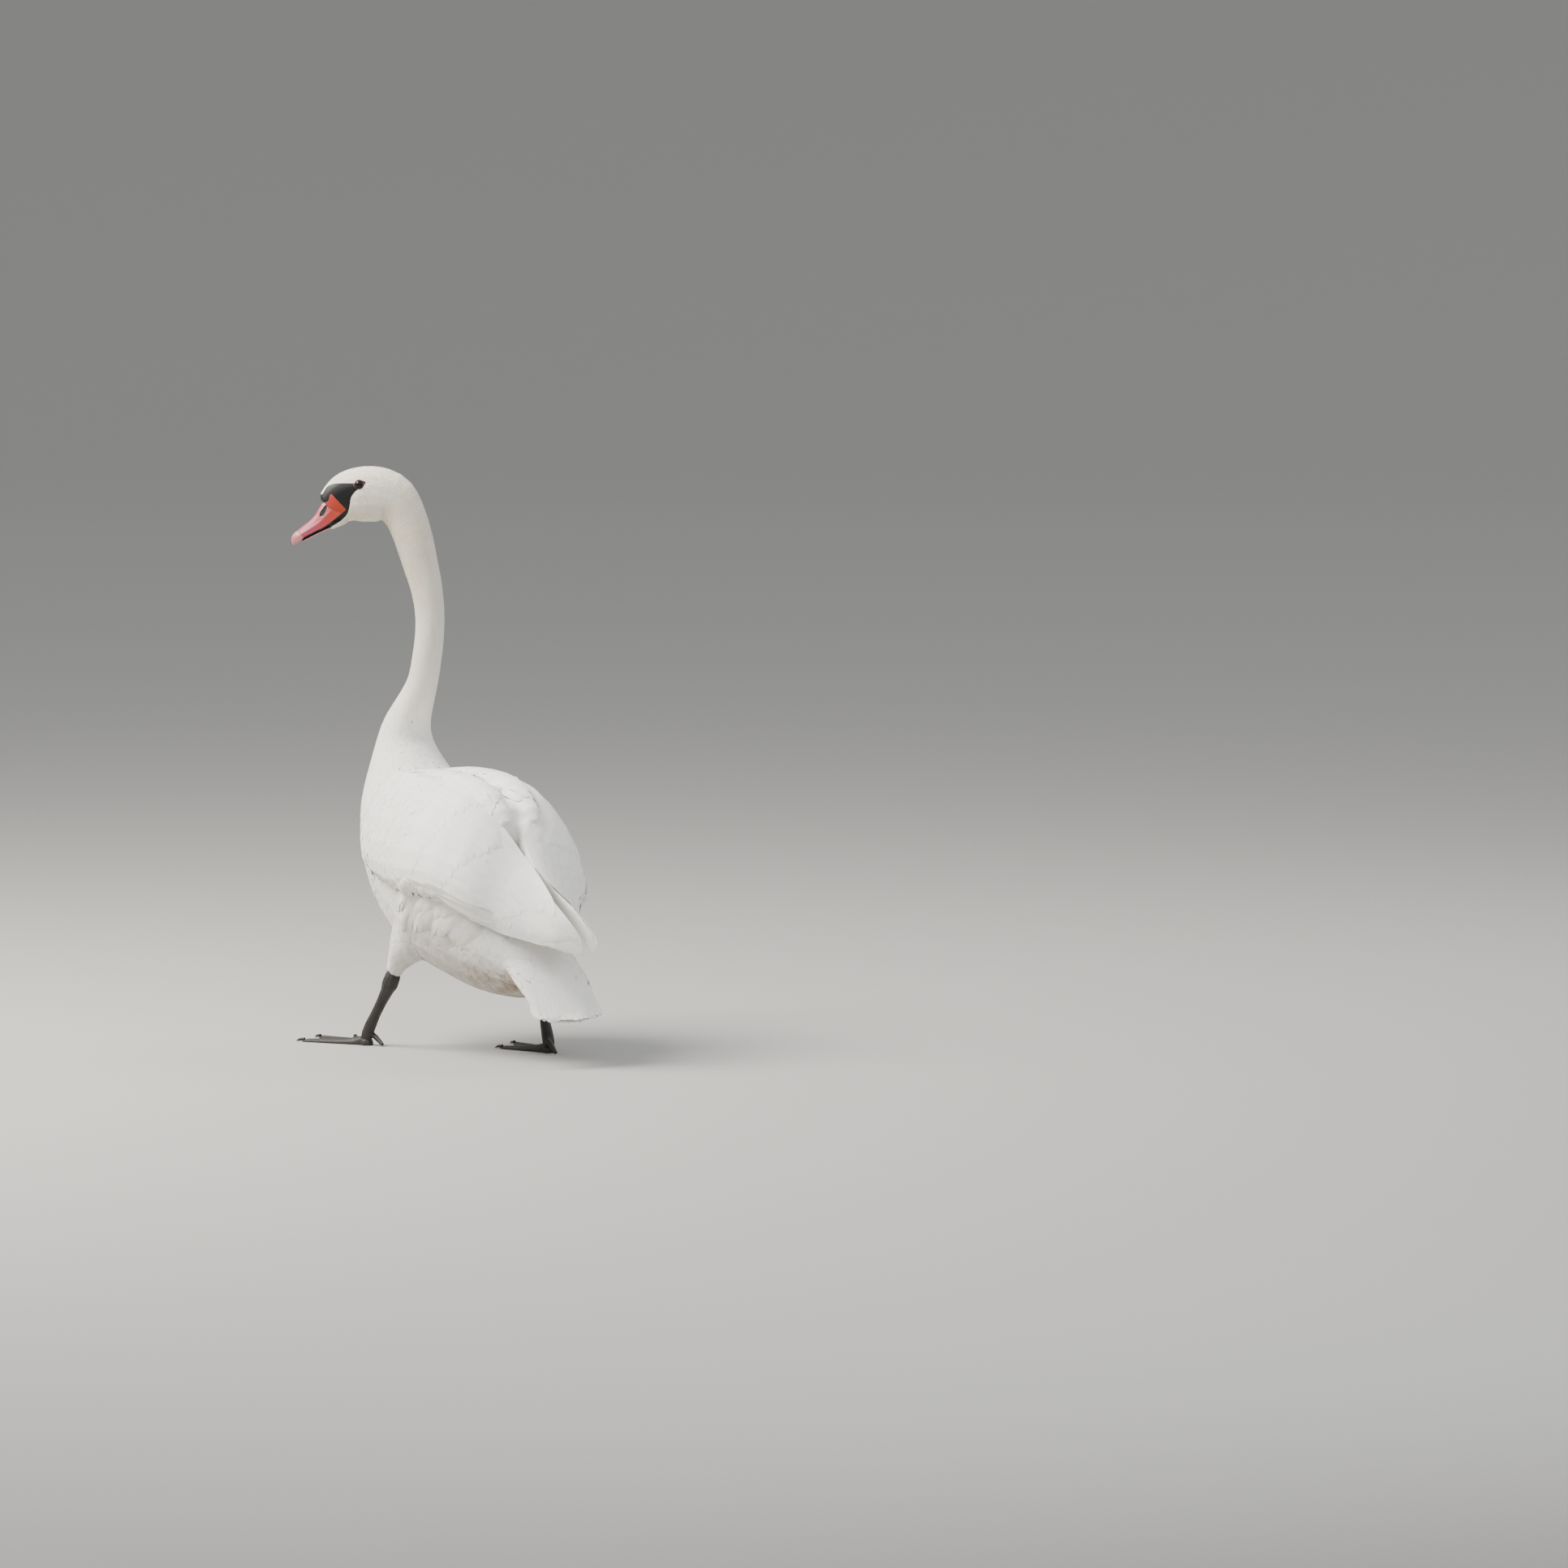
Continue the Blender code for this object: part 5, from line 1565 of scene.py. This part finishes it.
def make_eye(name, side):
    centre = middle("eye_" + name)
    outward = head_left * side
    ball = bmesh.new()
    bmesh.ops.create_uvsphere(ball, u_segments=48, v_segments=32, radius=eye_radius)
    turn = outward.to_track_quat("Z", "Y")
    gaze = []
    for v in ball.verts:
        angle = v.co.angle(UP) / (math.pi / 2)
        gaze.append(angle)
        v.co *= 1 + CORNEA_RISE / eye_radius * max(0.0, 1 - (angle / CORNEA_ANGLE) ** 2)
        v.co = centre + turn @ v.co
    data = mesh_from(ball, "eyeball_" + name)
    give(data, "gaze", gaze)
    eye = new_object("eyeball_" + name, data, cornea)

    rings = []
    for k in range(LID_STEPS):
        t = math.tau * k / LID_STEPS
        outer = LID_OUTER
        for direction, reach, spread_angle in (REAR_CORNER, FRONT_CORNER):
            gap = (t - direction + math.pi) % math.tau - math.pi
            outer += reach * math.exp(-((gap / spread_angle) ** 2))
        along = head_ahead * math.cos(t) + UP * math.sin(t)
        rim = centre + along * outer
        found = skin_tree.ray_cast(rim + outward * 0.02, -outward, 0.04)[0]
        face_height = (found - rim).dot(outward)
        ball_height = math.sqrt(eye_radius**2 - LID_INNER**2)
        ring = []
        for share, lift in LID_PROFILE:
            r = LID_INNER + (outer - LID_INNER) * share
            height = ball_height + (face_height - ball_height) * share + lift * MM
            ring.append(centre + along * r + outward * height)
        rings.append(ring)
    lid = bmesh.new()
    grid = [[lid.verts.new(p) for p in ring] for ring in rings]
    for a, b in zip(grid, grid[1:] + grid[:1]):
        for k in range(len(LID_PROFILE)):
            n = (k + 1) % len(LID_PROFILE)
            lid.faces.new((a[k], b[k], b[n], a[n]))
    bmesh.ops.recalc_face_normals(lid, faces=lid.faces)
    lids = new_object("lid_" + name, mesh_from(lid, "lid_" + name), lid_skin)
    finer = lids.modifiers.new("finer", "SUBSURF")
    finer.levels = finer.render_levels = 1
    return eye, lids


eyes_and_lids = {name: make_eye(name, side) for name, side in (("left", 1), ("right", -1))}
print("eyeballs and lids:", *[piece.name for pair in eyes_and_lids.values() for piece in pair])

# %% [markdown]
# ## Legs and feet
# A swan's legs are covered in small horny plates: broad ones in a row down the front of the shank
# and along the top of each toe, and little round ones elsewhere. The broad plates are true
# relief, pressed into a fine net by a wave along the bone; the round ones are in the finish. The
# webs are thin skin with creases that fan out from the heel.
# %% Shank, foot and hind toe
LEG_VOXEL = 1.0 * MM
LEG_SWELL = 0.7 * MM  # closes the hairlines between shank, foot and hind toe
PLATE_PITCH = 3.4 * MM
PLATE_DEPTH = 0.32 * MM
PLATE_GROOVE = 0.11  # of the pitch
TOE_HALF_WIDTH = 6.5 * MM
ANKLE = (0.022, 0.030)  # the heights between which the foot turns into the shank
HEEL = (0.02, 0.03)
FLAT = (1, 1, 0)


def plates(along):
    """1 in the narrow grooves between plates."""
    phase = (along / PLATE_PITCH) % 1.0
    return np.exp(-(((phase - 0.5) / PLATE_GROOVE) ** 2))


def make_leg(side):
    nodes = [part + "_" + side for part in ("shank", "foot", "hind_toe")]
    leg = wrapped("leg_" + side, nodes, LEG_VOXEL, LEG_SWELL)
    edges = edges_of(leg.data)
    raw = points_of(leg.data)
    points = smoothed(raw, edges, taubin(6))
    move_points(leg.data, points)
    out = normals_of(leg.data)
    points = points - out * (LEG_SWELL - 0.2 * MM)
    top = raw[raw[:, 2] > np.array(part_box("shank_" + side)[1])[2] - 4 * MM].mean(0)
    heel = raw[(raw[:, 2] > HEEL[0]) & (raw[:, 2] < HEEL[1])].mean(0)
    bone = unit(heel - top)
    toes = [np.array(middle("claw_" + toe + "_" + side)) for toe in ("inner", "middle", "outer")]
    forward = unit((toes[1] - heel) * FLAT)
    on_shank = ramp(points[:, 2], *ANKLE)
    front = ramp(out @ forward, 0.15, 0.5)
    sink = plates((points - top) @ bone) * front * on_shank * PLATE_DEPTH
    near_toe = np.zeros(len(points))
    away = (points - heel) * FLAT
    for toe in toes:
        run = (toe - heel) * FLAT
        run /= np.linalg.norm(run)
        along = away @ run
        aside = np.linalg.norm(away - along[:, None] * run, axis=1)
        on_toe = ramp(-aside, -TOE_HALF_WIDTH, -0.6 * TOE_HALF_WIDTH) * (along > 0)
        near_toe = np.maximum(near_toe, on_toe)
        sink += plates(along) * on_toe * ramp(out[:, 2], 0.1, 0.5) * (1 - on_shank) * PLATE_DEPTH
    bearing = np.arctan2(away @ np.cross([0, 0, 1], forward), away @ forward)
    reach = np.linalg.norm(away, axis=1)
    on_web = (1 - near_toe) * ramp(out[:, 2], 0.3, 0.7) * (1 - on_shank) * ramp(reach, 0.02, 0.04)
    creases = np.sin(bearing * 95 + 6 * np.sin(reach * 60)) * 0.6
    creases += np.sin(reach * 900 + 4 * bearing) * 0.4
    sink += on_web * (creases * 0.16 + 0.1) * MM
    grain = np.sin(points @ (1900, 700, 1300)) * np.sin(points @ (-900, 2100, 800))
    sink += grain * 0.05 * MM
    points = points - out * sink[:, None]
    points[:, 2] = np.where(raw[:, 2] < 0.4 * MM, 0.0, np.maximum(points[:, 2], 0.0))
    move_points(leg.data, points)
    leg.data.materials.append(scale_skin)
    print(leg.name, "of", len(leg.data.polygons), "faces")
    return leg


legs = {side: make_leg(side) for side in ("left", "right")}

# %% [markdown]
# ### Claws
# Each of the front toes ends in a blunt, slightly hooked claw, darker and shinier than the toe.
# %% Claws
CLAW_ROOT = 3.5 * MM  # how far a claw runs back into its toe
CLAW_VOXEL = 0.42 * MM
claws = {}
for side in ("left", "right"):
    for toe in ("inner", "middle", "outer"):
        node = "claw_" + toe + "_" + side
        claw = wrapped("horn_" + node, (node,), CLAW_VOXEL)
        points = smoothed(points_of(claw.data), edges_of(claw.data), taubin(6))
        inward = np.array(middle("hind_toe_" + side) - middle(node))
        inward = unit(inward * FLAT)
        behind = points @ inward
        share = (behind - behind.min()) / (behind.max() - behind.min())
        points += inward * (CLAW_ROOT * share)[:, None]
        points[:, 2] = np.maximum(points[:, 2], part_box(node)[0].z)
        move_points(claw.data, points)
        claw.data.materials.append(claw_horn)
        claws[node] = claw
print("claws:", len(claws), "of", len(claw.data.polygons), "faces each")


# %% [markdown]
# ## Studio
# The bird is white, so the floor is a pale grey that it can stand out from. The floor is turned
# from one profile, flat in the middle and swept up at its rim like a photographer's paper roll,
# so that no horizon shows behind the bird. One large soft light high on its left rakes along the
# plumage and shows the feathers, a weaker one fills from the camera's side, and the sky does the
# rest.
# %% Floor and lights
FLAT_RADIUS = 17.0
SWEEP_RADIUS = 9.0
SWEEP_STEPS = 16
FLOOR_STEPS = 96

floor_finish, tree, shader = new_material("studio_paper")
feed(tree, shader, {"Base Color": linear("#A7A6A3"), "Roughness": 0.8})
profile = bmesh.new()
line = [profile.verts.new((0, 0, 0)), profile.verts.new((FLAT_RADIUS, 0, 0))]
for k in range(1, SWEEP_STEPS + 1):
    turn = math.pi / 2 * k / SWEEP_STEPS
    away = FLAT_RADIUS + SWEEP_RADIUS * math.sin(turn)
    line.append(profile.verts.new((away, 0, SWEEP_RADIUS * (1 - math.cos(turn)))))
for a, b in zip(line[:-1], line[1:]):
    profile.edges.new((a, b))
swept = {"geom": profile.verts[:] + profile.edges[:], "angle": math.tau, "steps": FLOOR_STEPS}
bmesh.ops.spin(profile, axis=UP, cent=(0, 0, 0), **swept)
bmesh.ops.remove_doubles(profile, verts=profile.verts, dist=MM)
bmesh.ops.recalc_face_normals(profile, faces=profile.faces)
if min(profile.faces, key=lambda face: face.calc_center_median().length).normal.z < 0:
    bmesh.ops.reverse_faces(profile, faces=profile.faces)
floor = new_object("floor", mesh_from(profile, "floor"), floor_finish)

world = bpy.data.worlds.new("studio")
bpy.context.scene.world = world
world.use_nodes = True
sky = {"Color": linear("#E4E6E8"), "Strength": 0.9}
feed(world.node_tree, world.node_tree.nodes["Background"], sky)

low, high = cad_box
heart = Vector([(a + b) / 2 for a, b in zip(low, high)])


def seen_from(azimuth, elevation):
    """The way from the bird to a viewer: in front of its breast at azimuth 0, at its left at 90."""
    turn, tilt = math.radians(azimuth), math.radians(elevation)
    flat = math.cos(tilt)
    return Vector((math.sin(turn) * flat, -math.cos(turn) * flat, math.sin(tilt)))


def soft_light(name, azimuth, elevation, distance, size, watts, tint):
    """A square light that faces the bird."""
    back = seen_from(azimuth, elevation)
    data = bpy.data.lights.new(name, "AREA")
    data.size = size
    data.energy = watts
    data.color = linear(tint)[:3]
    made = bpy.data.objects.new(name, data)
    made.location = heart + back * distance
    made.rotation_mode = "QUATERNION"
    made.rotation_quaternion = (-back).to_track_quat("-Z", "Y")
    bpy.context.scene.collection.objects.link(made)


soft_light("key", 62, 50, 3.4, 2.2, 400, "#FFF8EF")
soft_light("fill", 165, 25, 4.0, 2.5, 50, "#EDF2FF")
soft_light("rim", 265, 40, 3.5, 1.6, 40, "#FFFFFF")

# %% [markdown]
# ## Camera
# The bird is seen from behind its left side, from little above its back, through a long lens from
# far off, and it stands left of the middle of the frame.
# %% Camera
CAMERA_AZIMUTH = 148.0
CAMERA_ELEVATION = 7.0
CAMERA_DISTANCE = 13.0
CAMERA_LENS = 187.7
SENSOR = 36.0
UNDER_NECK = (0.1514, 0.1721)  # a point on the floor, from the right and front sides of the box
AIM_RIGHT = 0.2215  # how far it lies left of the frame's middle, as a share of the frame's side
AIM_UP = 0.1641  # and how far below that middle

stance = Vector((low[0] + UNDER_NECK[0], low[1] + UNDER_NECK[1], 0.0))
back = seen_from(CAMERA_AZIMUTH, CAMERA_ELEVATION)
right = UP.cross(back).normalized()
above = back.cross(right)
aim = (-back * CAMERA_LENS + (right * AIM_RIGHT + above * AIM_UP) * SENSOR).normalized()
lens = bpy.data.cameras.new("camera")
lens.lens = CAMERA_LENS
lens.sensor_width = SENSOR
lens.clip_end = 200.0
camera = bpy.data.objects.new("camera", lens)
bpy.context.scene.collection.objects.link(camera)
camera.location = stance + back * CAMERA_DISTANCE
camera.rotation_mode = "QUATERNION"
camera.rotation_quaternion = aim.to_track_quat("-Z", "Y")
bpy.context.scene.camera = camera
print("camera", [round(c, 2) for c in camera.location], "lens", CAMERA_LENS, "mm")

# %% [markdown]
# ## Pieces on the body
# Every piece rides on the one body, and the solids that were rebuilt as pieces are hidden.
# %% Hide the solids and attach the pieces
for shape in (tuft, short_vane, body_vane):
    bpy.data.objects.remove(shape)
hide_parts(*FLESH)
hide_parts("bill_upper", "bill_nail", "knob")
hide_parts("bill_lower")
for side in ("left", "right"):
    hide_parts("eye_" + side)
    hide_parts("shank_" + side, "foot_" + side, "hind_toe_" + side)
for node, claw in claws.items():
    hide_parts(node)
SLOTS = {
    "white_feathers": [skin] + coat + quills,
    "orange_horn": [bill, bill_under],
    "dark_eye": [pair[0] for pair in eyes_and_lids.values()],
    "black_skin": [pair[1] for pair in eyes_and_lids.values()] + [*legs.values(), *claws.values()],
}
for slot, pieces in SLOTS.items():
    for piece in pieces:
        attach(piece, "root")
